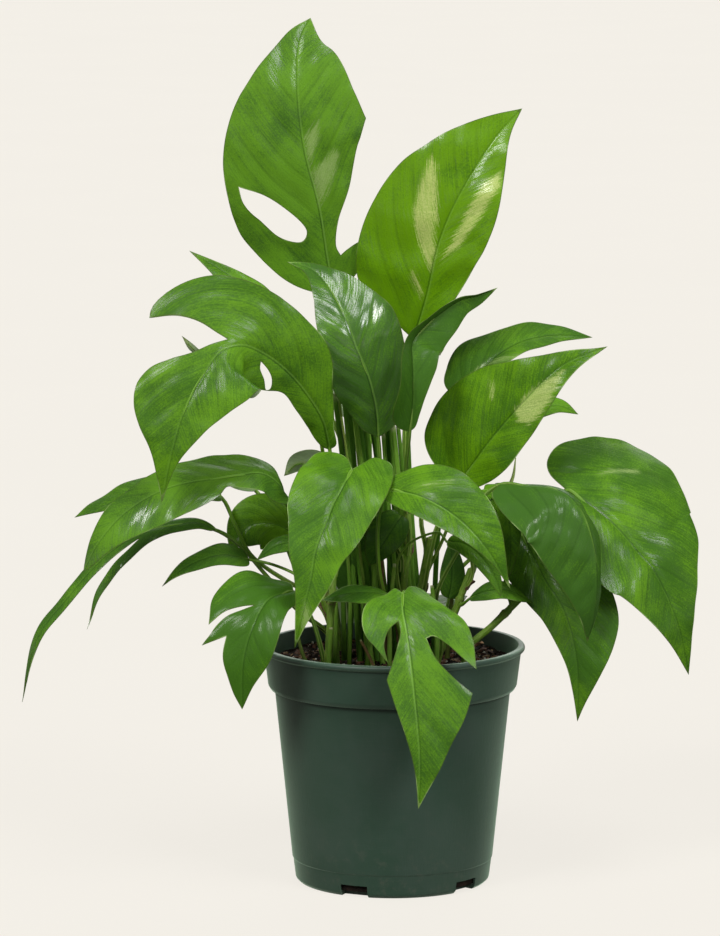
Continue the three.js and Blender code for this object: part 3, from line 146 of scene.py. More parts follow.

# Leaves, as in the part's source. An outline point is (along the midrib, out from it), with a third
# value of 1 for a sharp corner. A bend is (fold, curl, roll). A look is tone from fresh to deep
# green, warmth from blue to yellow green, quilting, gloss and how pale the midrib is. The tone is
# partly painted shade: leaves in the plant's shadowed middle are given deeper greens. How pale the
# midrib is sets a thin line that is partly its own paler green and partly painted highlight.
# Streaks are pale patches, drawn flat as (along, out) with the right side positive.
LEAVES = (
    dict(
        name="leaf_crown_split", stem="back", height=205, look=(0.22, 0.15, 0.35, 0.3, 0.7),
        stalk=((-21, 26, 262), (-30, 34, 320)),
        midrib=((-36, 37, 365), (-40, 34, 382), (-46, 27, 420), (-55, 23, 456), (-59, 24, 491),
            (-58, 34, 522), (-51, 40, 536)),
        facing=((-0.1, -1, 0.1), (0.1, -1, 0.35)),
        right=((10, 17), (20, 21), (31, 23), (27, 13), (24, 9, 1), (30, 7), (47, 11), (67, 23),
            (91, 34), (108, 41, 1), (129, 35), (159, 22)),
        left=((3, 11), (13, 26), (31, 43), (50, 52), (90, 52), (117, 43), (141, 27), (158, 13)),
        holes=(((82, -45), (73, -31), (58, -19), (42, -10), (36, -14), (41, -27), (56, -38),
            (72, -45)),),
        bend=((-8, 0.3, 0),),
        streaks=(((82, 1), (90, 1), (102, 1), (111, 12), (101, 11), (90, 5)), ((56, 0), (68, 0),
            (79, 0), (82, 4), (86, 12), (92, 19), (85, 21), (75, 16), (63, 7))),
    ),
    dict(
        name="leaf_crown_pale", stem="centre", height=222, look=(-0.02, 1, 0.35, 0.4, 0.3),
        stalk=((7, 6, 262), (9, 19, 306)),
        midrib=((13, 25, 337), (21, 17, 365), (29, 12, 400), (41, 10, 428), (64, 16, 464),
            (80, 22, 481)),
        facing=((-0.25, -1, 0.15), (-0.1, -1, 0.3)),
        right=((17, 10), (35, 19), (71, 29), (100, 27), (125, 17), (150, 5)),
        left=((6, 13), (15, 29), (26, 45), (54, 50), (73, 48), (96, 43), (112, 35), (128, 26),
            (147, 12)),
        bend=((-10, 0.4, 0),),
        streaks=(((45, 0), (60, -12), (78, -23), (110, -28), (107, -21), (92, -12), (78, -5),
            (59, 0)), ((53, 4), (68, 7), (88, 9), (110, 9), (124, 15), (114, 21), (89, 19),
            (67, 14)), ((25, -2), (34, -3), (46, -11), (43, -14), (34, -9))),
    ),
    dict(
        name="leaf_centre_curled", stem="centre", height=196, look=(0.8, 0, 0.6, 1, 0.6),
        stalk=((-6, -14, 226), (-7, -14, 252)),
        midrib=((-9, -18, 281), (-11, -24, 302), (-16, -30, 322), (-23, -33, 339), (-28, -31, 353),
            (-37, -20, 371), (-50, -10, 384), (-65, -2, 388)),
        facing=((0, -1, 0.1), (0.1, -0.6, 0.9)), bend_right=((-4, 0, -0.1), (-4, 0.6, -0.005)),
        bend_left=((-5, 0.6, 0),),
        right=((3, 5), (8, 11), (17, 15), (29, 19), (40, 24), (52, 29), (62, 31), (75, 30),
            (88, 25), (106, 15), (122, 6)),
        left=((7, 10), (22, 18), (43, 23), (59, 21), (80, 19), (105, 12), (124, 5)),
    ),
    dict(
        name="leaf_upper_right_folded", stem="centre", height=232, look=(1.1, 0.2, 0.3, 0.15, 0.15),
        stalk=((8, -22, 262),),
        midrib=((10, -36, 287), (12, -37, 305), (12, -36, 326), (12, -31, 341), (18, -24, 349),
            (29, -15, 357), (41, -4, 364), (53, 8, 366), (65, 18, 370)),
        facing=((-0.15, -1, 0.15), (0.2, -1, 0.3)), bend_right=((6, 0.3, 0),),
        bend_left=((-52, -0.5, 0), (-75, -0.5, 0)),
        right=((3, 3), (12, 5), (20, 7), (29, 10.5), (39, 14.5), (55, 18.5), (67, 18.5), (83, 15),
            (101, 10), (118, 5.5)),
        left=((2, 8), (7, 15), (14, 19), (26, 18), (40, 13), (54, 9), (70, 7), (95, 5), (118, 2.5)),
    ),
    dict(
        name="leaf_right_upper_back", stem="back_right", height=196,
        look=(0.7, 0.25, 0.3, 0.15, 0.15), stalk=((18, 20, 225), (26, 24, 255), (38, 26, 285)),
        midrib=((48, 28, 306), (61, 30, 322), (80, 33, 334), (102, 36, 338), (125, 36, 337)),
        facing=((-0.2, -0.6, 0.8), (0, -0.5, 0.85)),
        right=((-2, 7), (8, 10), (30, 10), (52, 10), (72, 6)),
        left=((-9, 8), (-7, 20), (2, 28), (15, 30), (30, 24), (49, 17), (65, 11), (79, 5)),
        bend=((-6, 0.8, 0),),
        streaks=(((1, -6), (13, -1), (25, 6), (38, 13), (48, 12), (37, 8), (26, 2), (14, -4),
            (2, -8)),),
    ),
    dict(
        name="leaf_right_upper_front", stem="back_right", height=172,
        look=(0.52, 0.85, 0.3, 0.15, 0.15), stalk=((24, 4, 205), (30, 0, 228)),
        midrib=((45, -8, 256), (57, -16, 275), (79, -22, 302), (104, -22, 326), (132, -14, 337)),
        facing=((-0.3, -1, 0.3), (-0.1, -1, 0.5)),
        right=((-3, 8), (5, 14), (23, 20), (45, 19), (70, 15), (91, 10), (111, 4)),
        left=((-8, 10), (-7, 25), (2, 38), (20, 43), (42, 41), (60, 34), (75, 23), (92, 11),
            (113, 3)),
        bend=((-8, 0.5, 0),),
        streaks=(((94, 3), (80, 0), (64, -3), (53, -1), (50, 6), (54, 13), (63, 14), (76, 12),
            (88, 8)), ((56, -26), (56, -22), (49, -15), (48, -18))),
    ),
    dict(
        name="leaf_right_behind", stem="back_right", height=184, look=(0.35, 0.2, 0.3, 0.15, 0.15),
        stalk=((32, 8, 215), (46, 12, 255), (56, 13, 272)),
        midrib=((67, 14, 280), (86, 20, 292), (103, 24, 295), (116, 24, 290)),
        facing=((0, -0.6, 0.8), (0, -0.6, 0.8)), right=((-3, 6), (8, 10), (26, 9), (44, 5)),
        left=((-3, 6), (8, 14), (24, 13), (42, 7)), stout=0.75, bend=((-8, 0.6, 0),),
    ),
    dict(
        name="leaf_right_large", stem="far_right", height=180, look=(0.66, 0.4, 0.4, 0.22, 0.15),
        stalk=((92, -10, 190), (100, -3, 215)),
        midrib=((107, -6, 247), (126, -20, 236), (140, -28, 224), (151, -33, 211), (160, -35, 201),
            (175, -34, 168), (183, -26, 134)),
        facing=((0.1, -0.75, 0.65), (0.55, -0.8, 0.2)),
        right=((-6, 12), (6, 26), (28, 36), (52, 36), (72, 32), (97, 22), (126, 9)),
        left=((-16, 3), (-24, 10), (-27, 22), (-24, 36), (-17, 51), (-8, 62), (6, 69), (27, 69),
            (39, 66), (51, 58), (62, 53), (72, 48), (78, 42), (84, 35), (94, 27), (112, 15),
            (130, 7)),
        bend=((-8, 0.6, 0),), streaks=(((7, -20), (10, -22), (24, -44), (20, -46), (10, -30)),),
    ),
    dict(
        name="leaf_right_dark", stem="right", height=140, look=(1.1, 0, 0.5, 0.25, 0.15),
        stalk=((27, -19, 182), (42, -28, 216), (52, -36, 243)),
        midrib=((66, -36, 255), (78, -42, 255), (93, -50, 255), (106, -56, 251), (114, -60, 242),
            (121, -62, 224), (124, -62, 202), (123, -58, 179), (119, -52, 159)),
        facing=((0, -0.7, 0.7), (0.3, -0.9, 0.1)), bend_right=((-6, 0.7, 0),),
        bend_left=((50, 1, 0),),
        right=((-3, 8), (5, 19), (20, 30), (44, 39), (66, 37), (90, 31), (110, 20), (128, 9)),
        left=((-6, 5), (5, 10), (20, 14), (43, 15), (70, 14), (95, 12), (118, 7), (134, 3)),
        ease=15,
    ),
    dict(
        name="leaf_right_low", stem="far_right", height=166, look=(0.64, 0.3, 0.4, 0.35, 0.15),
        stalk=((70, -10, 188), (74, -3, 206)),
        midrib=((77, -8, 222), (84, -15, 211), (94, -28, 193), (105, -36, 176), (113, -40, 146),
            (114, -34, 106)),
        facing=((-0.2, -0.8, 0.6), (-0.2, -1, 0.2)),
        right=((-5, 8), (2, 16), (14, 20), (25, 20), (45, 17), (64, 14), (79, 11), (95, 7),
            (120, 2)),
        left=((-4, 9), (8, 18), (20, 27), (32, 31), (53, 32), (74, 31), (88, 24), (101, 15),
            (118, 6)),
        bend=((-8, 0.6, 0),),
    ),
    dict(
        name="leaf_front_right", stem="centre", height=158, look=(0.5, 0.4, 0.3, 0.15, 0.5),
        stalk=((-4, -22, 181), (-9, -37, 206), (-8, -45, 240)),
        midrib=((-3, -50, 253), (12, -60, 252), (24, -66, 248), (40, -71, 238), (56, -73, 221),
            (71, -68, 195)),
        facing=((0.1, -0.8, 0.6), (0.2, -0.95, 0.2)),
        right=((-3, 5), (4, 9), (21, 14), (44, 13), (65, 8), (88, 2)),
        left=((-4, 5), (1, 12), (10, 19), (24, 25), (40, 26), (61, 20), (80, 11), (95, 4)),
        bend=((-8, 0.6, 0),), streaks=(((18, -6), (24, -6), (36, -15), (35, -19), (26, -12)),),
    ),
    dict(
        name="leaf_front_right_behind", stem="right", height=186, look=(0.3, 0.3, 0.3, 0.15, 0.15),
        stalk=((46, -18, 220), (48, -17, 240)),
        midrib=((56, -20, 249), (63, -27, 247), (68, -31, 240), (71, -32, 230), (72, -31, 213),
            (71, -29, 194)),
        facing=((0.2, -0.8, 0.6), (0.1, -1, 0.1)),
        right=((-2, 4), (6, 9), (20, 11), (38, 9), (54, 5)),
        left=((-2, 4), (8, 7), (22, 8), (38, 7), (53, 4)), stout=0.75, bend=((-8, 0.6, 0),),
    ),
    dict(
        name="leaf_front_heart", stem="front_left", height=198, look=(0.52, 0.4, 0.2, 0.15, 0.35),
        stalk=((-30, -36, 232), (-26, -38, 254)),
        midrib=((-25, -45, 265), (-29, -56, 259), (-36, -66, 247), (-41, -73, 235), (-47, -79, 220),
            (-50, -82, 203), (-57, -82, 175), (-60, -78, 160)),
        facing=((0, -0.75, 0.65), (0, -1, 0.05)),
        right=((-8, 6), (-10, 14), (-4, 24), (8, 28), (24, 29), (42, 26), (63, 17), (85, 9),
            (108, 3)),
        left=((-9, 5), (-17, 10), (-16, 19), (-5, 25), (12, 27), (32, 26), (56, 21), (80, 13),
            (104, 5)),
        bend=((-8, 0.5, 0),), streaks=(((93, 1), (98, -5), (114, -9), (118, -5), (105, 0)),),
    ),
    dict(
        name="leaf_front_split", stem="centre", height=166, look=(0.48, 0.15, 0.3, 0.22, 0.8),
        stalk=((10, -30, 184), (8, -48, 190)),
        midrib=((6, -62, 191), (6, -80, 183), (9, -92, 167), (13, -103, 133), (16, -105, 96),
            (15, -100, 65)),
        facing=((0, -0.6, 0.8), (0, -1, 0)),
        right=((-5, 5), (2, 11), (14, 22), (24, 26), (34, 25), (43, 20), (53, 14, 1), (41, 15),
            (32, 11), (27, 4, 1), (34, 4), (45, 8), (63, 16, 1), (77, 13), (98, 8), (122, 3)),
        left=((-7, 4), (-5, 11), (8, 20), (22, 28), (33, 36), (45, 39), (62, 39, 1), (54, 31),
            (45, 23), (39, 15), (40, 11, 1), (53, 15), (65, 24), (76, 35, 1), (90, 29), (104, 20),
            (127, 8)),
        bend=((-6, 0.4, 0),),
    ),
    dict(
        name="leaf_front_low", stem="centre", height=150, look=(0.6, 0.1, 0.3, 0.15, 0.15),
        stalk=((-1, -28, 174),),
        midrib=((-3, -40, 187), (-14, -45, 189), (-28, -50, 189), (-44, -52, 185)),
        facing=((0, -0.35, 0.95), (0, -0.35, 0.95)), right=((4, 6), (14, 9), (28, 7)),
        left=((4, 8), (14, 14), (26, 14), (36, 8)), stout=0.75, bend=((-5, 0.8, 0),),
    ),
    dict(
        name="leaf_left_low_split", stem="front_left", height=140,
        look=(1.1, 0.4, 0.35, 0.15, 0.15), stalk=((-51, -50, 176),),
        midrib=((-61, -52, 191), (-76, -68, 188), (-85, -78, 174), (-91, -81, 153),
            (-92, -78, 122)),
        facing=((-0.3, -0.7, 0.6), (-0.1, -1, 0.1)),
        right=((-4, 6), (0, 15), (9, 24), (22, 30), (34, 32), (50, 27, 1), (46, 24.5), (39, 19.5),
            (33, 11.5), (30, 5, 1), (34, 9.5), (41, 17), (49, 22), (55, 24), (61, 27, 1),
            (53, 14, 1), (64, 13), (75, 9), (86, 5)),
        left=((-2, 6), (8, 12), (20, 15), (36, 17), (52, 18), (66, 15), (82, 6)),
        bend=((-6, 0.5, 0),),
    ),
    dict(
        name="leaf_left_arching", stem="left", height=194, look=(0.35, 0.1, 0.4, 0.5, 0.5),
        stalk=((-57, -14, 226),),
        midrib=((-64, -25, 240), (-68, -34, 252), (-80, -42, 262), (-100, -50, 261),
            (-136, -60, 256), (-163, -64, 241), (-179, -64, 223), (-189, -60, 204)),
        facing=((-0.1, -0.5, 0.85), (-0.3, -0.6, 0.75)), bend_right=((-4, 0.5, 0),),
        bend_left=((12, 1, 0),),
        right=((2, 5), (15, 9), (28, 16), (44, 22), (65, 23), (90, 19), (117, 15), (140, 11),
            (162, 4)),
        left=((3, 8), (16, 14), (34, 14), (50, 10), (58, 7), (64, 12), (78, 18), (100, 21),
            (124, 18), (148, 10), (164, 4)),
    ),
    dict(
        name="leaf_left_behind", stem="left", height=170, look=(0.6, 0.1, 0.3, 0.15, 0.15),
        stalk=((-64, -4, 188), (-88, 0, 205), (-98, 2, 224)),
        midrib=((-106, 4, 241), (-120, -2, 246), (-141, -8, 248), (-165, -12, 243),
            (-181, -12, 237), (-197, -10, 230)),
        facing=((0, -0.45, 0.9), (0, -0.45, 0.9)),
        right=((2, 7), (20, 13), (45, 15), (68, 13), (84, 8)),
        left=((2, 6), (12, 10), (32, 14), (54, 12), (77, 7)), bend=((-4, 0.6, 0),),
    ),
    dict(
        name="leaf_far_left_narrow", stem="left", height=148, look=(0.75, 0.05, 0.4, 0.4, 0.15),
        stalk=((-58, -14, 172), (-78, -15, 194), (-96, -13, 214)),
        midrib=((-109, -12, 223), (-121, -16, 228), (-135, -20, 227), (-155, -26, 223),
            (-177, -30, 209), (-201, -34, 183), (-219, -36, 159), (-229, -32, 118)),
        facing=((-0.2, -0.35, 0.9), (-0.7, -0.4, 0.5)), bend_right=((-4, 0.5, 0),),
        bend_left=((14, 1, 0),),
        right=((3, 3), (14, 5), (34, 6), (58, 5), (88, 6), (120, 6), (150, 4), (170, 2)),
        left=((4, 4), (14, 6), (32, 7), (46, 10), (63, 14), (84, 17), (101, 20), (117, 26, 1),
            (98, 15), (80, 10), (62, 7), (52, 4, 1), (70, 5), (95, 5), (122, 5), (150, 3),
            (168, 1)),
    ),
    dict(
        name="leaf_left_small", stem="front_left", height=172, look=(0.65, 0.1, 0.3, 0.15, 0.15),
        stalk=((-56, -36, 196), (-74, -26, 203)),
        midrib=((-89, -22, 206), (-105, -30, 210), (-122, -36, 206), (-135, -38, 198),
            (-142, -36, 191)),
        facing=((0, -0.5, 0.85), (0, -0.5, 0.85)),
        right=((2, 8), (12, 11), (24, 9), (40, 6), (52, 3)),
        left=((2, 7), (10, 11), (22, 10), (38, 7), (52, 3)), stout=0.75, bend=((-4, 0.6, 0),),
    ),
    dict(
        name="leaf_left_round", stem="left", height=184, look=(0.32, 0.6, 0.3, 0.15, 0.15),
        stalk=((-54, -1, 212),),
        midrib=((-62, -2, 220), (-73, 4, 224), (-88, 8, 223), (-102, 6, 209)),
        facing=((-0.2, -0.95, 0.3), (-0.3, -0.95, 0.1)),
        right=((0, 9), (9, 16), (24, 18), (36, 12), (45, 5)),
        left=((0, 9), (10, 15), (24, 17), (38, 12), (45, 5)), stout=0.75, bend=((-8, 0.8, 0),),
    ),
    dict(
        name="leaf_left_tucked", stem="front_left", height=188, look=(0.8, 0.1, 0.3, 0.15, 0.15),
        stalk=((-50, -36, 213),), midrib=((-61, -33, 219), (-73, -37, 216), (-84, -35, 207)),
        facing=((0, -0.6, 0.8), (0, -0.6, 0.8)), right=((0, 5), (8, 6), (18, 4)),
        left=((0, 7), (8, 8), (19, 4)), stout=0.75, bend=((-8, 0.6, 0),),
    ),
    dict(
        name="leaf_left_underside", stem="back_left", height=190, look=(0.5, 0.1, 0.3, 0.15, 0.15),
        stalk=((-32, 14, 226),),
        midrib=((-27, 6, 242), (-42, 18, 254), (-58, 28, 259), (-68, 32, 250)),
        facing=((0.1, 0.8, 0.6), (0.1, 0.8, 0.6)), right=((2, 9), (14, 15), (32, 14), (46, 7)),
        left=((2, 9), (14, 14), (30, 14), (44, 7)), bend=((-8, 0.6, 0),),
    ),
    dict(
        name="leaf_upper_left_split", stem="front_left", height=208,
        look=(0.47, 0.4, 0.45, 0.18, 0.5), stalk=((-38, -27, 243),),
        midrib=((-39, -30, 275), (-43, -40, 294), (-51, -47, 309), (-65, -56, 327), (-80, -63, 339),
            (-92, -69, 344), (-104, -75, 341), (-114, -81, 328), (-126, -87, 306), (-133, -89, 283),
            (-140, -84, 250)),
        facing=((-0.2, -0.9, 0.4), (-0.1, -1, 0.2)), bend_right=((-6, 0.4, 0),),
        bend_left=((-4, 0.3, 0),),
        right=((4, 5), (18, 6), (39, 16), (51, 25), (62, 30), (74, 32), (86, 35), (95, 38),
            (104, 47), (112, 51), (117, 52), (120, 49, 1), (116, 36), (113, 23), (110, 11),
            (107, 5, 1), (112, 6), (122, 12), (133, 22), (143, 31), (153, 34), (162, 31), (172, 24),
            (187, 12), (202, 5)),
        left=((3, 4), (14, 9), (38, 11), (55, 11), (66, 17), (76, 21), (88, 24), (98, 30),
            (110, 35), (126, 33), (146, 25), (168, 15), (186, 6), (202, 2)),
        holes=(((83, -5), (75, -7), (69, -10), (65, -15), (67, -17), (74, -13), (81, -9)),),
    ),
    dict(
        name="leaf_upper_left_back", stem="back", height=190, look=(0.35, 0.3, 0.3, 0.15, 0.15),
        stalk=((-22, 40, 240), (-44, 34, 300), (-66, 24, 340)),
        midrib=((-81, 30, 361), (-92, 32, 370), (-106, 36, 379), (-127, 40, 391)),
        facing=((0, -0.8, 0.6), (0, -0.8, 0.6)), right=((-5, 6), (4, 8), (20, 6), (38, 3)),
        left=((-3, 8), (8, 12), (22, 11), (40, 5)), bend=((-8, 0.6, 0),),
    ),
    dict(
        name="leaf_inner_curled", stem="centre", height=206, look=(0.85, 0, 0.4, 0.15, 0.15),
        stalk=((9, -18, 226),),
        midrib=((5, -21, 233), (-2, -26, 223), (-8, -28, 214), (-15, -25, 202)),
        facing=((0.3, -0.9, 0.3), (0.2, -0.9, 0.3)), right=((0, 6), (8, 12), (20, 12), (32, 6)),
        left=((0, 6), (8, 10), (18, 10), (30, 6)), stout=0.75, bend=((-8, 1.5, 0),),
    ),
    dict(
        name="leaf_inner_upright", stem="right", height=146, look=(0.85, 0, 0.3, 0.15, 0.15),
        stalk=((33, -6, 166),), midrib=((35, -4, 178), (37, -5, 190), (37, -5, 205), (36, -3, 216)),
        facing=((0, -1, 0.1), (0, -1, 0.1)), right=((2, 6), (14, 8), (28, 5)),
        left=((2, 5), (14, 8), (28, 5)), stout=0.75, bend=((-8, 1, 0),),
    ),
    dict(
        name="leaf_inner_shaded", stem="back", height=156, look=(1, 0, 0.3, 0.15, 0.15),
        stalk=((-16, 10, 172),),
        midrib=((-22, 0, 186), (-26, -4, 204), (-27, -5, 222), (-25, -3, 234)),
        facing=((0, -1, 0.1), (0, -1, 0.1)), plain=14,
    ),
    dict(
        name="leaf_right_level", stem="right", height=168, look=(0.6, 0, 0.3, 0.15, 0.15),
        stalk=((42, -24, 177),),
        midrib=((47, -31, 183), (57, -37, 188), (70, -40, 189), (86, -38, 181)),
        facing=((0, -0.5, 0.85), (0, -0.5, 0.85)), right=((4, 6), (16, 10), (30, 8)),
        left=((4, 5), (16, 8), (30, 6)), stout=0.75, bend=((-6, 0.6, 0),),
    ),
    dict(
        name="leaf_front_drooping", stem="centre", height=172, look=(0.4, 0.2, 0.3, 0.15, 0.15),
        stalk=((4, -23, 188), (3, -24, 205), (10, -26, 216), (20, -30, 222), (29, -34, 224)),
        midrib=((33, -37, 219), (42, -42, 219), (51, -48, 214), (58, -52, 206), (63, -53, 197),
            (66, -53, 187)),
        facing=((0, -0.8, 0.6), (0, -0.9, 0.2)), right=((2, 4), (14, 7), (32, 6), (46, 3)),
        left=((2, 4), (14, 7), (32, 6), (46, 3)), stout=0.6, bend=((-8, 0.8, 0),),
    ),
    dict(
        name="leaf_back_upright", stem="back", height=218, stalk=((-14, 36, 262),),
        midrib=((-14, 44, 292), (-18, 58, 320), (-24, 78, 342), (-30, 100, 350)),
        facing=((0, 0.5, 0.85), (0, 0.7, 0.7)), plain=30,
    ),
    dict(
        name="leaf_back_far_right", stem="back_right", height=160,
        stalk=((46, 24, 196), (82, 28, 228)),
        midrib=((104, 34, 238), (122, 50, 236), (138, 72, 222), (148, 92, 196)),
        facing=((0.3, 0.4, 0.85), (0.5, 0.6, 0.6)), plain=30,
    ),
    dict(
        name="leaf_back_right", stem="back_right", height=204, stalk=((34, 26, 236), (40, 34, 254)),
        midrib=((48, 42, 268), (62, 62, 284), (76, 86, 290), (90, 110, 280)),
        facing=((0.2, 0.3, 0.9), (0.3, 0.7, 0.7)), plain=28,
    ),
    dict(
        name="leaf_back_middle", stem="back", height=176, stalk=((-16, 42, 216),),
        midrib=((-20, 58, 232), (-24, 82, 240), (-28, 108, 234), (-30, 132, 210)),
        facing=((0, 0.3, 0.95), (0, 0.8, 0.6)), plain=28,
    ),
    dict(
        name="leaf_back_left_upper", stem="back_left", height=198,
        stalk=((-42, 38, 250), (-50, 38, 300)),
        midrib=((-58, 40, 329), (-90, 60, 329), (-112, 70, 321), (-124, 72, 324), (-133, 70, 334)),
        facing=((-0.1, 0.2, 0.95), (-0.2, 0.4, 0.9)), plain=18,
    ),
    dict(
        name="leaf_back_low_right", stem="back_right", height=142, stalk=((18, 26, 158),),
        midrib=((22, 40, 166), (28, 66, 168), (32, 94, 160), (35, 112, 134)),
        facing=((0.1, 0.3, 0.95), (0.2, 0.9, 0.4)), plain=20,
    ),
    dict(
        name="leaf_back_low_left", stem="back_left", height=146, stalk=((-38, 42, 162),),
        midrib=((-37, 50, 170), (-34, 66, 174), (-30, 84, 170), (-28, 100, 152), (-27, 106, 130)),
        facing=((0, 0.3, 0.95), (0, 0.9, 0.4)), plain=25,
    ),
    dict(
        name="leaf_back_left", stem="left", height=160, stalk=((-58, 6, 190), (-72, 16, 222)),
        midrib=((-86, 26, 243), (-104, 42, 250), (-124, 58, 249), (-144, 70, 242)),
        facing=((-0.2, 0.3, 0.95), (-0.4, 0.5, 0.8)), plain=22,
    ),
)

PLAIN_BEND = ((-8, 0.6, 0),)
PLAIN_LOOK = (0.45, 0.15, 0.3, 0.15, 0.15)


# ---- Curves and tubes


def unit(vectors):
    return vectors / np.maximum(np.linalg.norm(vectors, axis=-1, keepdims=True), 1e-9)


def span(p0, p1, p2, p3, share):
    """A point on the centripetal Catmull-Rom span from p1 to p2."""
    t1 = max(np.linalg.norm(p1 - p0), 1e-6) ** 0.5
    t2 = t1 + max(np.linalg.norm(p2 - p1), 1e-6) ** 0.5
    t3 = t2 + max(np.linalg.norm(p3 - p2), 1e-6) ** 0.5
    t = t1 + (t2 - t1) * share
    a1 = ((t1 - t) * p0 + t * p1) / t1
    a2 = ((t2 - t) * p1 + (t - t1) * p2) / (t2 - t1)
    a3 = ((t3 - t) * p2 + (t - t2) * p3) / (t3 - t2)
    b1 = ((t2 - t) * a1 + t * a2) / t2
    b2 = ((t3 - t) * a2 + (t - t1) * a3) / (t3 - t1)
    return ((t2 - t) * b1 + (t - t1) * b2) / (t2 - t1)


def spans(points, counts):
    """Points along a smooth curve, with a count for each span, and the last point."""
    spots = [np.array(p, float) for p in points]
    spots = [2 * spots[0] - spots[1], *spots, 2 * spots[-1] - spots[-2]]
    line = []
    for i, count in enumerate(counts):
        line.extend(span(*spots[i:i + 4], k / count) for k in range(count))
    line.append(spots[-2])
    return np.array(line)


class Path:
    """A smooth curve through points, read by the distance along it."""

    PROBE = 0.8

    def __init__(self, points):
        self.line = spans(points, [60] * (len(points) - 1))
        steps = np.linalg.norm(np.diff(self.line, axis=0), axis=1)
        self.reach = np.concatenate([[0], np.cumsum(steps)])
        self.length = self.reach[-1]

    def at(self, distance):
        axes = [np.interp(distance, self.reach, self.line[:, i]) for i in range(3)]
        return np.stack(axes, -1)

    def tangent(self, distance):
        ahead = self.at(np.minimum(np.asarray(distance) + self.PROBE, self.length))
        behind = self.at(np.maximum(np.asarray(distance) - self.PROBE, 0))
        return unit(ahead - behind)

    def at_height(self, z):
        return self.line[min(np.searchsorted(self.line[:, 2], z), len(self.line) - 1)]


def carried(start, tangents):
    """A direction carried along a curve without turning about it."""
    out = []
    direction = np.array(start, float)
    for tangent in tangents:
        direction = unit(direction - direction.dot(tangent) * tangent)
        out.append(direction)
    return np.array(out)


def ring_faces(rings, sides, first=0):
    """Faces between rings of vertices that follow one another from the first one."""
    faces = []
    for i in range(rings - 1):
        for k in range(sides):
            a, b = first + i * sides + k, first + i * sides + (k + 1) % sides
            faces.append((a, b, b + sides, a + sides))
    return faces


def closed_faces(rings, sides):
    """Faces of a body of rings that lie between a first and a last vertex on its axis."""
    faces = ring_faces(rings, sides, 1)
    top = 1 + (rings - 1) * sides
    for k in range(sides):
        n = (k + 1) % sides
        faces += [(0, 1 + n, 1 + k), (top + k, top + n, top + sides)]
    return faces


def around(sides):
    return np.arange(sides) * math.tau / sides


def bell(offset):
    return np.exp(-(offset**2))


def tube(centres, tangents, fronts, radii):
    """Vertices and faces of a closed tube, with a row of radii for each ring."""
    rings, sides = radii.shape
    angles = around(sides)
    sideways = np.cross(tangents, fronts)
    offset = (
        np.cos(angles)[None, :, None] * fronts[:, None]
        + np.sin(angles)[None, :, None] * sideways[:, None]
    )
    verts = (centres[:, None] + offset * radii[:, :, None]).reshape(-1, 3)
    faces = ring_faces(rings, sides)
    faces.append(tuple(range(sides))[::-1])
    faces.append(tuple(range((rings - 1) * sides, rings * sides)))
    return verts, faces


def swept(path, steps, radii):
    """A closed tube along an upright path, with a row of radii at each step."""
    tangents = path.tangent(steps)
    return tube(path.at(steps), tangents, carried(UPRIGHT_FRONT, tangents), radii)


def ring_values(rings, sides, more):
    """Three values for each vertex of a tube: by its ring, by its side and again by its ring."""
    more = np.broadcast_to(more, len(rings))
    full = np.broadcast_arrays(rings[:, None], sides[None], more[:, None])
    return np.stack(full, -1).reshape(-1, 3)


def wrapped(angles):
    """Angles brought into the half turn either side of zero."""
    return (angles + math.pi) % (2 * math.pi) - math.pi


# ---- Pieces


class Build:
    """Gathers vertices, faces, finishes and values for one mesh."""

    SHARP_ANGLE = 50
    KINDS = {1: ("FLOAT", "value"), 3: ("FLOAT_VECTOR", "vector")}

    def __init__(self):
        self.verts = []
        self.faces = []
        self.finish = []
        self.values = {}
        self.count = 0

    def add(self, verts, faces, finish=0, **values):
        verts = np.asarray(verts, float)
        offset = self.count
        self.verts.append(verts)
        self.faces.extend(tuple(i + offset for i in face) for face in faces)
        if isinstance(finish, int):
            finish = [finish] * len(faces)
        self.finish.extend(finish)
        for key, value in values.items():
            value = np.asarray(value, float)
            width = value.shape[-1] if value.ndim else 1
            full = np.broadcast_to(value.reshape(-1, width), (len(verts), width))
            self.values.setdefault(key, []).append((offset, full))
        self.count += len(verts)

    def mesh(self, name):
        mesh = bpy.data.meshes.new(name)
        verts = np.concatenate(self.verts) * MM
        mesh.from_pydata(verts.tolist(), [], self.faces)
        mesh.polygons.foreach_set("material_index", self.finish)
        for key, chunks in self.values.items():
            width = chunks[0][1].shape[1]
            kind, field = self.KINDS[width]
            full = np.zeros((self.count, width), np.float32)
            for offset, chunk in chunks:
                full[offset:offset + len(chunk)] = chunk
            mesh.attributes.new(key, kind, "POINT").data.foreach_set(field, full.ravel())
        mesh.shade_smooth()
        mesh.set_sharp_from_angle(angle=math.radians(self.SHARP_ANGLE))
        mesh.update()
        return mesh

    def place(self, name, finishes, slot, *nodes):
        return place(name, self.mesh(name), finishes, slot, *nodes)


def place(name, mesh, finishes, slot, *nodes):
    """Puts a piece on the root body, in place of its solids."""
    piece = bpy.data.objects.new(name, mesh)
    bpy.context.scene.collection.objects.link(piece)
    for finish in finishes:
        mesh.materials.append(finish)
    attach(piece, "root")
    if nodes:
        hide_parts(*nodes)
    return piece


# ---- Finishes


class Signal:
    """A shader output that takes part in sums and products."""

    def __init__(self, finish, socket):
        self.finish = finish
        self.socket = socket

    def __add__(self, other):
        return self.finish.math("ADD", self, other)

    def __sub__(self, other):
        return self.finish.math("SUBTRACT", self, other)

    def __rsub__(self, other):
        return self.finish.math("SUBTRACT", other, self)

    def __mul__(self, other):
        return self.finish.math("MULTIPLY", self, other)

    def __truediv__(self, other):
        return self.finish.math("DIVIDE", self, other)

    def __abs__(self):
        return self.finish.math("ABSOLUTE", self)

    __radd__ = __add__
    __rmul__ = __mul__


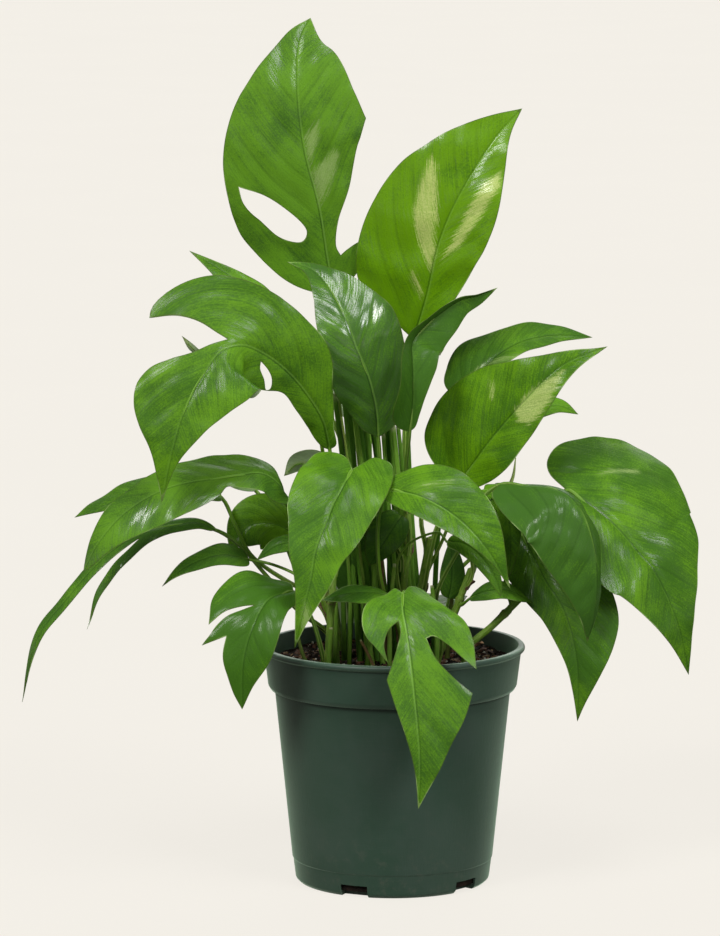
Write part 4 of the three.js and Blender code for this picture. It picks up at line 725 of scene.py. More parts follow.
class Finish:
    """A material or world whose nodes are added by name."""

    def __init__(self, name, kind="materials"):
        self.material = getattr(bpy.data, kind).new(name)
        self.material.use_nodes = True
        self.tree = self.material.node_tree
        self.tree.nodes.clear()

    def add(self, kind, settings, inputs, output=0):
        node = self.tree.nodes.new(kind)
        for key, value in settings.items():
            if key != "stops":
                setattr(node, key, value)
                continue
            while len(node.color_ramp.elements) < len(value):
                node.color_ramp.elements.new(0.5)
            for element, (spot, colour) in zip(node.color_ramp.elements, value):
                element.position, element.color = spot, (*colour, 1)
        by_name = {socket.identifier: socket for socket in node.inputs}
        for key, value in inputs.items():
            socket = node.inputs[key] if isinstance(key, int) else by_name[key]
            if isinstance(value, Signal):
                self.tree.links.new(value.socket, socket)
            elif isinstance(value, (tuple, list)) and socket.type == "RGBA":
                socket.default_value = (*value[:3], 1)
            else:
                socket.default_value = value
        if isinstance(output, str):
            output = [socket.identifier for socket in node.outputs].index(output)
        return Signal(self, node.outputs[output]) if node.outputs else None

    def math(self, operation, *values):
        return self.add("ShaderNodeMath", {"operation": operation}, dict(enumerate(values)))

    def attribute(self, name, output="Vector"):
        return self.add("ShaderNodeAttribute", {"attribute_name": name}, {}, output)

    def split(self, vector):
        return [self.add("ShaderNodeSeparateXYZ", {}, {0: vector}, i) for i in range(3)]

    def vector(self, x, y, z):
        return self.add("ShaderNodeCombineXYZ", {}, {0: x, 1: y, 2: z})

    def place(self):
        return self.add("ShaderNodeTexCoord", {}, {}, "Object")

    def noise(self, vector, scale, detail=3, roughness=0.55):
        inputs = {"Vector": vector, "Scale": scale, "Detail": detail, "Roughness": roughness}
        return self.add("ShaderNodeTexNoise", {}, inputs)

    def step(self, value, low, high, at_low=0, at_high=1):
        """Goes smoothly from at_low to at_high as value goes from low to high."""
        inputs = {"Value": value, "From Min": low, "From Max": high}
        inputs.update({"To Min": at_low, "To Max": at_high})
        return self.add("ShaderNodeMapRange", {"interpolation_type": "SMOOTHSTEP"}, inputs)

    def mix(self, share, first, second, blend="MIX"):
        settings = {"data_type": "RGBA", "blend_type": blend}
        inputs = {"Factor_Float": share, "A_Color": first, "B_Color": second}
        return self.add("ShaderNodeMix", settings, inputs, "Result_Color")

    def shaded_towards_mix(self, colour):
        """The colour darkened towards the mix: painted shade low among the stems."""
        low = self.step(self.split(self.place())[2], MIX_TOP_Z * MM, 0.2, 0.75, 0)
        return self.mix(low, colour, (0.3, 0.34, 0.2), "MULTIPLY")

    def surface(self, colour, roughness, relief=None, depth=0.3, **constants):
        inputs = {"Base Color": colour, "Roughness": roughness}
        inputs.update({key.replace("_", " "): value for key, value in constants.items()})
        if relief is not None:
            bump = {"Height": relief, "Strength": 1, "Distance": depth * MM}
            inputs["Normal"] = self.add("ShaderNodeBump", {}, bump)
        shader = self.add("ShaderNodeBsdfPrincipled", {}, inputs)
        self.add("ShaderNodeOutputMaterial", {}, {"Surface": shader})
        return self.material


# ---- Leaves


def smooth_run(run, step):
    if len(run) < 3:
        return np.array(run, float)
    ends = np.array(run, float)
    reach = np.linalg.norm(np.diff(ends, axis=0), axis=1)
    return spans(run, [max(1, round(r / step)) for r in reach])


def smooth_chain(chain, step):
    """A closed line through (along, out) points, smooth between its corners."""
    line = []
    run = [chain[0][:2]]
    for i, point in enumerate(chain[1:], 1):
        run.append(point[:2])
        if len(point) > 2 or i == len(chain) - 1:
            line.extend(smooth_run(run, step)[:-1])
            run = [point[:2]]
    return np.array(line)


def inside(points, loop):
    """Which (along, out) points lie inside a closed line."""
    odd = np.zeros(len(points), bool)
    y, x = points[:, 0], points[:, 1]
    for (ya, xa), (yb, xb) in zip(loop, np.roll(loop, 1, axis=0)):
        if ya != yb:
            odd ^= ((ya > y) != (yb > y)) & (x < (xb - xa) * (y - ya) / (yb - ya) + xa)
    return odd


def within(points, loops):
    """Which points lie inside the first closed line and in none of the others."""
    return inside(points, loops[0]) & ~np.any([inside(points, hole) for hole in loops[1:]], axis=0)


def distance(points, loop):
    """How far each point is from a closed line."""
    nearest = np.full(len(points), 1e9)
    for a, b in zip(loop, np.roll(loop, -1, axis=0)):
        edge = b - a
        share = np.clip((points - a) @ edge / max(edge @ edge, 1e-9), 0, 1)
        gap = points - a - share[:, None] * edge
        nearest = np.minimum(nearest, np.einsum("ij,ij->i", gap, gap))
    return np.sqrt(nearest)


def heart(length, half_width):
    shape = ((-0.07, 0.3), (-0.05, 0.68), (0.12, 1), (0.35, 0.98), (0.62, 0.66), (0.84, 0.27))
    return tuple((along * length, out * half_width) for along, out in shape)


class Leaf:
    """One leaf of the table, with the frame of its midrib."""

    GRAIN = 2
    EDGE_STEP = 1.6
    RIB_HALF_WIDTH = 1.1
    VEIN_SLANT = 1.25
    VEIN_CURVE = 0.007
    GROOVE_DEPTH = 0.55
    SHOULDER_RISE = 0.35
    SHOULDER_SPOT = 4
    SHOULDER_WIDTH = 2.6
    PILLOW_RISE = 0.65
    WAVE_SIZES = (42, 27)
    WAVE_RISE = 0.5
    RUFFLE_RISE = 0.4
    RIM_HALF_THICKNESS = 0.13
    EXTRA_HALF_THICKNESS = 0.12
    STREAK_FADE = 7
    BEND_STEPS = 12
    STALK_SIDES = 18
    STALK_STEP = 3.5
    KEEL_SHARES = (0, 0.12, 0.26, 0.4, 0.6, 0.8, 0.93)
    NECK_SWELLING = 0.14
    NECK_OFFSET = 7
    NECK_LENGTH = 5
    WING_RISE = 0.34

    def __init__(self, row):
        self.row = row
        self.midrib = Path(row["midrib"])
        self.length = self.midrib.length
        self.scale = row.get("stout", 1)
        half_width = row.get("plain")
        outline = heart(self.length, half_width) if half_width else ()
        self.right = row.get("right", outline)
        self.left = row.get("left", outline)
        self.holes = row.get("holes", ())
        bend = row.get("bend", PLAIN_BEND)
        self.bends = [row.get("bend_" + side, bend) for side in ("right", "left")]
        self.tone, self.warmth, self.quilting, self.gloss, self.rib = row.get("look", PLAIN_LOOK)
        self.seed = sum(ord(letter) * (i + 3) for i, letter in enumerate(row["name"]))
        width = max(point[1] for point in (*self.right, *self.left))
        self.vein_spacing = min(24, max(9, 0.1 * self.length + 0.16 * width))

    def frame(self, along):
        """Centre, tangent, normal and side of the midrib at distances along it."""
        along = np.asarray(along, float)
        reach = np.clip(along, 0, self.length)
        tangent = self.midrib.tangent(reach)
        centre = self.midrib.at(reach) + tangent * (along - reach)[..., None]
        first, last = (np.array(v, float) for v in self.row["facing"])
        facing = first + (last - first) * (reach / self.length)[..., None]
        normal = unit(facing - (facing * tangent).sum(-1, keepdims=True) * tangent)
        return centre, tangent, normal, np.cross(tangent, normal)

    def bent(self, along, out):
        """Where a flat point lies once the blade is bent."""
        centre, _, normal, side = self.frame(along)
        share = np.clip(along / self.length, 0, 1)
        ends = [(bend[0], bend[-1]) for bend in self.bends]
        right, left = (
            [first + (last - first) * share for first, last in zip(*pair)] for pair in ends
        )
        fold, curl, roll = (np.where(out >= 0, r, l) for r, l in zip(right, left))
        reach = np.abs(out)
        sideways, rise = np.zeros_like(reach), np.zeros_like(reach)
        for k in range(self.BEND_STEPS):
            s = reach * (k + 0.5) / self.BEND_STEPS
            angle = np.radians(fold + curl * s + roll * s * s)
            sideways += np.cos(angle) * reach / self.BEND_STEPS
            rise -= np.sin(angle) * reach / self.BEND_STEPS
        return centre + side * (np.sign(out) * sideways)[..., None] + normal * rise[..., None]

    def eased(self, along, out):
        """Where a flat point lies, evened out along the midrib at a tight bend."""
        window = self.row.get("ease", 0) * np.clip(np.abs(out) / 30, 0, 1)
        return sum(self.bent(along + window * k, out) for k in (-1, -0.5, 0, 0.5, 1)) / 5

    def loops(self, step):
        left = [(p[0], -p[1], *p[2:]) for p in reversed(self.left)]
        outline = [(0, 0, 1), *self.right, (self.length, 0, 1), *left, (0, 0, 1)]
        holes = [smooth_chain([*hole, hole[0]], step) for hole in self.holes]
        return [smooth_chain(outline, step), *holes]

    def flat(self):
        """Points, triangles and rim distances of the flat blade."""
        loops = self.loops(self.EDGE_STEP)
        low, high = loops[0].min(0), loops[0].max(0)
        ribs = [(y, x) for y in np.arange(self.GRAIN, self.length - 1, self.GRAIN)
                for x in (0, -self.RIB_HALF_WIDTH, self.RIB_HALF_WIDTH)]
        rows = np.arange(low[0], high[0], self.GRAIN * 0.87)
        grid = [
            (y, x + (self.GRAIN / 2 if i % 2 else 0))
            for i, y in enumerate(rows) for x in np.arange(low[1], high[1], self.GRAIN)
        ]
        grid = [point for point in grid if abs(point[1]) > 2 or not 0 < point[0] < self.length]
        inner = np.array(ribs + grid)
        inner = inner[within(inner, loops)]
        gap = np.min([distance(inner, loop) for loop in loops], axis=0)
        inner = inner[gap > self.GRAIN * 0.4]
        points = [Vector((x, y)) for loop in loops for y, x in loop]
        points += [Vector((x, y)) for y, x in inner]
        edges, first = [], 0
        for loop in loops:
            n = len(loop)
            edges += [(first + i, first + (i + 1) % n) for i in range(n)]
            first += n
        made = geometry.delaunay_2d_cdt(points, edges, [], 0, 1e-5, False)
        flat = np.array([(p.y, p.x) for p in made[0]])
        faces = np.array(made[2])
        rim = np.min([distance(flat, loop) for loop in loops], axis=0)
        return flat, faces[within(flat[faces].mean(1), loops)], rim

    def vein_start(self, along, out):
        """Where on the midrib the fine veins through each point begin."""
        reach = np.abs(out)
        return along - self.VEIN_SLANT * reach - self.VEIN_CURVE * reach**2

    def phase(self, along, out):
        """Counts the side veins: whole numbers lie on a vein."""
        start = self.vein_start(along, out)
        return start / (self.vein_spacing * np.where(start < 0, 0.5 + np.abs(out) / 30, 1))

    def relief(self, along, out, rim):
        """Height of the blade's groove, veins and slow waves above its smooth form."""
        reach = np.abs(out)
        share = np.clip(along / self.length, 0, 1)
        groove = -self.GROOVE_DEPTH * bell(reach / self.RIB_HALF_WIDTH)
        groove += self.SHOULDER_RISE * bell((reach - self.SHOULDER_SPOT) / self.SHOULDER_WIDTH)
        phase = self.phase(along, out)
        pillow = -self.PILLOW_RISE * np.cos(np.abs(phase - np.round(phase)) * math.tau)
        spread = np.clip(reach / 9, 0, 1) * np.clip(rim / 9, 0, 1)
        rng = random.Random(self.seed)
        waves = np.zeros_like(along)
        for size in self.WAVE_SIZES:
            turn, shift = rng.uniform(0, math.tau), rng.uniform(0, math.tau)
            across = along * math.cos(turn) + out * math.sin(turn)
            rise = self.WAVE_RISE * size / self.WAVE_SIZES[0]
            waves += rise * np.sin(across * math.tau / size + shift + 2 * np.sin(out / 17))
        edge = np.exp(-rim / 5) * np.clip(reach / 14, 0, 1)
        ruffle = np.sin(along / 6.3 + self.seed) + 0.6 * np.sin(along / 3.4 + out / 9)
        return (
            groove * (1 - 0.7 * share) * np.clip(rim / 2, 0, 1)
            + self.quilting * pillow * spread
            + waves * np.clip(reach / 12, 0, 1)
            + self.RUFFLE_RISE * ruffle * edge
        )

    def add_blade(self, build):
        flat, faces, rim = self.flat()
        along, out = flat[:, 0], flat[:, 1]
        probe = 0.4
        across = self.eased(along, out + probe) - self.eased(along, out - probe)
        ahead = self.eased(along + probe, out) - self.eased(along - probe, out)
        normal = unit(np.cross(across, ahead))
        middle = self.eased(along, out) + normal * self.relief(along, out, rim)[:, None]
        half = self.RIM_HALF_THICKNESS + self.EXTRA_HALF_THICKNESS * np.clip(rim / 1.5, 0, 1)
        upper, lower = middle + normal * half[:, None], middle - normal * half[:, None]
        a, b, c = (flat[faces[:, i]] for i in range(3))
        (ab_along, ab_out), (ac_along, ac_out) = (b - a).T, (c - a).T
        turn = ab_out * ac_along - ab_along * ac_out
        faces = np.where((turn > 0)[:, None], faces, faces[:, ::-1])
        n = len(flat)
        directed = {(int(f[i]), int(f[(i + 1) % 3])) for f in faces for i in range(3)}
        rims = [(u, v) for u, v in sorted(directed) if (v, u) not in directed]
        streak = np.zeros(n)
        for patch in self.row.get("streaks", ()):
            patch = np.array(patch, float)
            depth = distance(flat, patch) * np.where(inside(flat, patch), 1, -1)
            streak = np.maximum(streak, np.clip(0.5 + depth / self.STREAK_FADE, 0, 1))
        share = along / self.length
        values = {
            "blade": np.stack([out, along, rim], 1),
            "vein": np.stack([self.phase(along, out), self.vein_start(along, out), share], 1),
            "mark": np.stack([
                streak, np.full(n, self.row.get("browned", 0)), np.full(n, self.seed % 97 / 97),
            ], 1),
        }
        verts = np.concatenate([upper, lower])
        tris = [tuple(f) for f in faces] + [tuple(n + i for i in f[::-1]) for f in faces]
        tris += [(v, u, n + u, n + v) for u, v in rims]
        finish = [0] * len(faces) + [1] * len(faces) + [0] * len(rims)
        values = {key: np.concatenate([value, value]) for key, value in values.items()}
        look = (self.tone, self.warmth, self.gloss)
        build.add(verts, tris, finish, look=look, rib=self.rib, **values)

    def add_stalk(self, build, groove):
        stem = Path(STEMS[self.row["stem"]])
        height = self.row["height"]
        stalk = self.row["stalk"]
        foot, collar = stem.at_height(height), stem.at_height(height + COLLAR_RISE)
        first = np.array(stalk[0] if stalk else self.row["midrib"][0], float)
        outward = unit((first - foot) * (1, 1, 0))
        foot = foot + outward * STEM_RADIUS * 0.7
        collar = collar + outward * (STEM_RADIUS + STALK_RADIUS * self.scale * 0.75)
        shares = np.array(self.KEEL_SHARES)
        centre, _, normal, _ = self.frame(shares * self.length)
        top = STALK_TOP_RADIUS * self.scale
        radii = top + (KEEL_END_RADIUS - top) * shares / shares[-1]
        sink = np.where(shares > 0, radii + 0.3 * (1 - shares), top * 0.7)
        keel = centre - normal * sink[:, None]
        path = Path([foot, collar, *stalk, *keel])
        at_neck = path.reach[np.argmin(np.linalg.norm(path.line - keel[0], axis=1))]
        steps = np.linspace(0, path.length, max(12, int(path.length / self.STALK_STEP)))
        on_stalk = np.clip(steps / at_neck, 0, 1)
        on_keel = np.clip((steps - at_neck) / (path.length - at_neck), 0, 1)
        radius = STALK_RADIUS * self.scale * (1 - on_stalk) + top * on_stalk
        radius = radius + (KEEL_END_RADIUS - top) * on_keel
        from_swelling = (steps - at_neck + self.NECK_OFFSET) / self.NECK_LENGTH
        radius *= 1 + self.NECK_SWELLING * bell(from_swelling)
        tangents = path.tangent(steps)
        fronts = carried(normal[0], tangents[::-1])[::-1]
        angle = wrapped(around(self.STALK_SIDES))[None, :]
        free = (1 - np.clip((steps - at_neck + 4) / 10, 0, 1))[:, None]
        wing = np.clip(1.35 - on_stalk * 2.3, 0, 1)[:, None]
        form = 1 - groove * free * bell(angle / GROOVE_ANGLE)
        form = form + self.WING_RISE * wing * free * bell((np.abs(angle) - 0.7) / 0.25)
        verts, faces = tube(path.at(steps), tangents, fronts, radius[:, None] * form)
        state = ring_values(on_stalk, np.abs(angle[0]) / math.pi, steps / 100 + self.seed)
        build.add(verts, faces, 2, stalk=state, look=(self.tone, self.warmth, 0.5))


class PLANT_OT_leaves(bpy.types.Operator):
    """Makes each leaf: a veined blade on its grooved stalk"""

    bl_idname = "plant.make_leaves"
    bl_label = "Leaves"

    def execute(self, context):
        sizes = context.scene.plant_leaf
        finishes = (leaf_face(sizes), leaf_underside(), leaf_stalk())
        for row in LEAVES:
            build = Build()
            leaf = Leaf(row)
            leaf.add_blade(build)
            leaf.add_stalk(build, sizes.groove)
            name = row["name"].removeprefix("leaf_") + "_leaf"
            build.place(name, finishes, "leaf", row["name"])
        return {"FINISHED"}


def leaf_colour(finish):
    """Base green of a leaf, from its own tone and warmth, with mottling that follows its veins. The
    tone is partly painted shade, deeper for leaves in the plant's shadowed middle.
    """
    tone, warmth, _ = finish.split(finish.attribute("look"))
    _, _, seed = finish.split(finish.attribute("mark"))
    out, along, _ = finish.split(finish.attribute("blade"))
    _, start, share = finish.split(finish.attribute("vein"))
    spot = finish.vector(out, along, seed * 300)
    lane = finish.vector(start * 0.75, abs(out) * 0.06, seed * 70 + finish.step(out, -1, 1, 0, 9))
    cloud = finish.noise(spot, 0.04, 3)
    brushed = finish.noise(lane, 1, 4, 0.6)
    grain = finish.noise(spot, 1.1, 3, 0.65)
    lively = (cloud - 0.5) * 2.2 + (brushed - 0.5) * 1.5 + (grain - 0.5) * 1.6
    depth = finish.step(tone + lively, -0.1, 1.05)
    cool = finish.mix(depth, (0.098, 0.24, 0.014), (0.04, 0.115, 0.012))
    warm = finish.mix(depth, (0.105, 0.25, 0.001), (0.036, 0.115, 0.001))
    return finish.mix(warmth, cool, warm), spot, lane, brushed, grain, share


def leaf_face(sizes):
    finish = Finish("Leaf face")
    colour, spot, lane, brushed, grain, share = leaf_colour(finish)
    out, _, rim = finish.split(finish.attribute("blade"))
    phase, _, _ = finish.split(finish.attribute("vein"))
    streak, browned, _ = finish.split(finish.attribute("mark"))
    _, warmth, gloss = finish.split(finish.attribute("look"))
    reach = abs(out)
    from_vein = abs(finish.math("PINGPONG", phase, 0.5)) * sizes.vein_spacing
    vein = finish.step(from_vein, 0.05, 1.4, 1, 0) * finish.step(reach, 0.5, 4)
    vein = vein * finish.step(rim, 0, 14)
    # Side veins drawn darker: partly their own colour, partly painted shade in their grooves.
    colour = finish.mix(vein * 0.35, colour, (0.5, 0.55, 0.5), "MULTIPLY")
    fine = finish.noise(lane, 3.1, 2, 0.7)
    ragged = streak * 1.9 + (brushed - 0.5) * 2.4 + (fine - 0.5) * 1.6 + (grain - 0.5)
    pale = finish.step(ragged, 0.7, 1.7) * finish.step(streak, 0.02, 0.3)
    cream = finish.mix(finish.step(warmth, 0.6, 1), (0.25, 0.36, 0.11), sizes.cream[:])
    colour = finish.mix(pale * finish.step(grain + fine, 0.8, 1.2, 0.45, 0.85), colour, cream)
    # Painted shadow in the midrib's groove: a thin dark line along one side of it.
    seam = finish.step(abs(out + 0.5), 0.15, 0.7, 0.7, 0) * finish.step(share, 0, 1, 1, 0.5)
    colour = finish.mix(seam, colour, (0.3, 0.4, 0.28), "MULTIPLY")
    # Painted highlight on the groove's other side, partly the midrib's own paler green, scaled by
    # the leaf's rib value.
    pale_rib_and_highlight = finish.step(abs(out - 0.55), 0.25, 0.7, 0.7, 0) * finish.step(share, 0.1, 0.9, 1, 0.3)
    rib = finish.attribute("rib", "Fac")
    colour = finish.mix(pale_rib_and_highlight * rib, colour, (0.2, 0.38, 0.07))
    patchy = finish.step(finish.noise(spot, 0.035, 2), 0.52, 0.66)
    edge = finish.mix(patchy, (0.06, 0.1, 0.015), (0.27, 0.38, 0.13))
    colour = finish.mix(finish.step(rim, 0.2, 0.75, 0.7, 0), colour, edge)
    dry = finish.step(share + (grain - 0.5) * 0.1, 0.93, 0.99) * browned
    colour = finish.mix(dry, colour, (0.1, 0.035, 0.012))
    roughness = finish.step(brushed * 0.6 + grain * 0.4, 0.35, 0.62, 0.42, 0.6)
    waxy = finish.step(brushed + (fine - 0.5) * 0.6, 0.4, 0.56) * gloss
    waxy = waxy * finish.step(grain, 0.36, 0.58, 0.35, 1)
    relief = fine * 0.3 + brushed * 0.35 + grain * 0.7 - vein * 0.2
    return finish.surface(
        colour, roughness, relief, 0.3, Specular_IOR_Level=0.08, Coat_Weight=waxy,
        Coat_Roughness=0.21, Coat_IOR=1.8,
    )


def leaf_underside():
    finish = Finish("Leaf underside")
    colour, _, _, brushed, grain, _ = leaf_colour(finish)
    out, _, rim = finish.split(finish.attribute("blade"))
    phase, _, _ = finish.split(finish.attribute("vein"))
    colour = finish.mix(0.85, colour, (0.33, 0.44, 0.24))
    colour = finish.mix(finish.step(brushed, 0.35, 0.7, 0, 0.4), colour, (0.42, 0.52, 0.33))
    from_vein = abs(finish.math("PINGPONG", phase, 0.5))
    vein = finish.step(from_vein, 0.01, 0.07, 1, 0)
    colour = finish.mix(vein * 0.4, colour, (0.36, 0.48, 0.2))
    colour = finish.mix(finish.step(abs(out), 0.8, 2, 0.6, 0), colour, (0.32, 0.43, 0.14))
    colour = finish.mix(finish.step(rim, 0.1, 0.6, 0.5, 0), colour, (0.24, 0.3, 0.08))
    relief = grain * 0.3 + brushed * 0.4 + vein * 0.6
    rough = finish.step(grain, 0.3, 0.7, 0.45, 0.6)
    # Painted light: the underside glows faintly in its own colour, as if lit through the leaf.
    return finish.surface(
        colour, rough, relief, 0.3, Specular_IOR_Level=0.2, Emission_Color=colour,
        Emission_Strength=0.08,
    )


def leaf_stalk():
    finish = Finish("Leaf stalk")
    share, around, place_along = finish.split(finish.attribute("stalk"))
    tone, warmth, _ = finish.split(finish.attribute("look"))
    spot = finish.vector(around * 5, place_along * 6, tone * 7)
    grain = finish.noise(finish.vector(around * 26, place_along * 5, warmth), 1, 4, 0.6)
    blotch = finish.noise(spot, 1, 3)
    pale = finish.mix(finish.step(share, 0.1, 1), (0.2, 0.37, 0.025), (0.12, 0.31, 0.01))
    # A deeper leaf tone darkens its stalk too, carrying the same partly painted shade.
    colour = finish.mix(finish.step(tone, 0.2, 1.1), pale, (0.065, 0.17, 0.008))
    colour = finish.mix(finish.step(grain, 0.35, 0.7, 0, 0.5), colour, (0.2, 0.3, 0.06))
    # Painted shade down the middle of the stalk's groove.
    groove = finish.step(around, 0.06, 0.17, 0.55, 0) * finish.step(share, 0.85, 1, 1, 0.2)
    colour = finish.mix(groove, colour, (0.04, 0.09, 0.008))
    # Painted highlight along the groove's lips; the lips also make the dry patches below more
    # likely.
    lips = finish.step(abs(around - 0.22), 0.03, 0.08, 0.7, 0)
    colour = finish.mix(lips * finish.step(share, 0.2, 0.6, 1, 0.35), colour, (0.38, 0.44, 0.15))
    dry = finish.step(blotch + lips * 0.2 - share * 0.4, 0.6, 0.78)
    colour = finish.mix(dry * 0.6, colour, (0.16, 0.09, 0.035))
    rough = finish.step(grain, 0.3, 0.7, 0.36, 0.5)
    return finish.surface(finish.shaded_towards_mix(colour), rough, grain, 0.15, Specular_IOR_Level=0.22)


# ---- Stems


class PLANT_OT_stems(bpy.types.Operator):
    """Makes the stems, each with ringed nodes and a domed top"""

    bl_idname = "plant.make_stems"
    bl_label = "Stems"

    SIDES = 24
    STEP = 1.6
    NODE_RISE, NODE_WIDTH = 0.6, 1.3
    SCAR_DEPTH, SCAR_OFFSET, SCAR_WIDTH = 0.3, 3.2, 1.2
    FLARE_RISE, FLARE_LENGTH = 0.25, 9
    RIDGE_COUNT, RIDGE_RISE = 5, 0.03
    GRAIN_SHIFT = 200

    def execute(self, context):
        finish = stem_skin()
        for number, (name, points) in enumerate(STEMS.items()):
            path = Path(points)
            steps = np.linspace(0, path.length, int(path.length / self.STEP))
            from_node = np.abs((steps / NODE_SPACING + 0.5) % 1 - 0.5) * NODE_SPACING
            from_scar = steps % NODE_SPACING - self.SCAR_OFFSET
            radius = STEM_RADIUS + self.NODE_RISE * bell(from_node / self.NODE_WIDTH)
            radius -= self.SCAR_DEPTH * bell(from_scar / self.SCAR_WIDTH)
            radius += self.FLARE_RISE * np.exp(-from_node / self.FLARE_LENGTH)
            to_top = (path.length - steps) / STEM_RADIUS
            radius *= np.sqrt(np.clip(1 - (1 - np.clip(to_top, 0, 1)) ** 2, 0.02, 1))
            angle = around(self.SIDES)
            rib = 1 + self.RIDGE_RISE * np.sin(angle * self.RIDGE_COUNT + number)
            grain = steps + number * self.GRAIN_SHIFT
            state = ring_values(from_node, np.abs(wrapped(angle)), grain)
            build = Build()
            build.add(*swept(path, steps, radius[:, None] * rib), stalk=state)
            build.place(name + "_stem", [finish], "stem", "stem_" + name)
        return {"FINISHED"}


def stem_skin():
    finish = Finish("Stem skin")
    from_node, around, along = finish.split(finish.attribute("stalk"))
    grain = finish.noise(finish.vector(around * 7, along * 0.22, 1), 1, 4, 0.6)
    blotch = finish.noise(finish.vector(around * 1.5, along * 0.11, 9), 1, 3)
    colour = finish.mix(finish.step(blotch, 0.35, 0.65), (0.09, 0.21, 0.012), (0.17, 0.31, 0.025))
    colour = finish.mix(finish.step(grain, 0.45, 0.7, 0, 0.7), colour, (0.32, 0.38, 0.12))
    ring = finish.step(from_node, 0.2, 1.1, 0.7, 0)
    colour = finish.mix(ring, colour, (0.2, 0.17, 0.06))
    scar = finish.step(blotch + grain * 0.3, 0.78, 0.9, 0, 0.7)
    colour = finish.mix(scar, colour, (0.14, 0.08, 0.035))
    rough = finish.step(grain, 0.3, 0.7, 0.45, 0.65)
    return finish.surface(finish.shaded_towards_mix(colour), rough, grain - ring, 0.3, Specular_IOR_Level=0.25)


class PLANT_OT_old_stalks(bpy.types.Operator):
    """Makes the old leaf stalks that stand cut or dry among the stems"""

    bl_idname = "plant.make_old_stalks"
    bl_label = "Old stalks"

    SIDES = 16
    STEP = 3
    GROOVE = 0.2
    BOW = 1.6

    def execute(self, context):
        build = Build()
        angle = wrapped(around(self.SIDES))
        form = 1 - self.GROOVE * bell(angle / GROOVE_ANGLE)
        for number, (foot, top, size, age, shade) in enumerate(OLD_STALKS):
            foot, top = np.array(foot, float), np.array(top, float)
            lean = (math.sin(number * 2.3), math.cos(number * 2.3), 0)
            path = Path([foot, foot * 0.45 + top * 0.55 + np.array(lean) * self.BOW, top])
            steps = np.linspace(0, path.length, max(10, int(path.length / self.STEP)))
            share = steps / path.length
            radius = size * (1.1 - 0.25 * share) * np.where(share > 0.999, 0.8, 1)
            state = ring_values(share, np.abs(angle) / math.pi, number)
            skin = swept(path, steps, radius[:, None] * form)
            build.add(*skin, stalk=state, look=(age, shade, 0))
        build.place("old_stalks", [old_stalk_skin()], "stem")
        return {"FINISHED"}


def old_stalk_skin():
    finish = Finish("Old stalk")
    share, around, number = finish.split(finish.attribute("stalk"))
    age, shade, _ = finish.split(finish.attribute("look"))
    grain = finish.noise(finish.vector(around * 24, share * 7, number), 1, 4, 0.6)
    blotch = finish.noise(finish.vector(around * 2, share * 4, number + 5), 1, 3)
    dry = finish.step(age + (blotch - 0.5) * 0.7, 0.4, 0.85)
    fresh = finish.mix(finish.step(grain, 0.35, 0.7), (0.1, 0.26, 0.01), (0.27, 0.44, 0.07))
    faded = finish.mix(finish.step(grain, 0.35, 0.65), (0.3, 0.2, 0.09), (0.12, 0.06, 0.03))
    colour = finish.mix(dry, fresh, faded)
    colour = finish.mix(finish.step(share, 0.96, 0.99, 0, 0.8), colour, (0.5, 0.5, 0.3))
    # Painted shade: each stalk darkened by its shade value, most for those deep among the stems.
    colour = finish.mix(shade, colour, (0.3, 0.52, 0.2), "MULTIPLY")
    rough = finish.step(grain, 0.3, 0.7, 0.5, 0.7)
    return finish.surface(finish.shaded_towards_mix(colour), rough, grain, 0.2, Specular_IOR_Level=0.2)


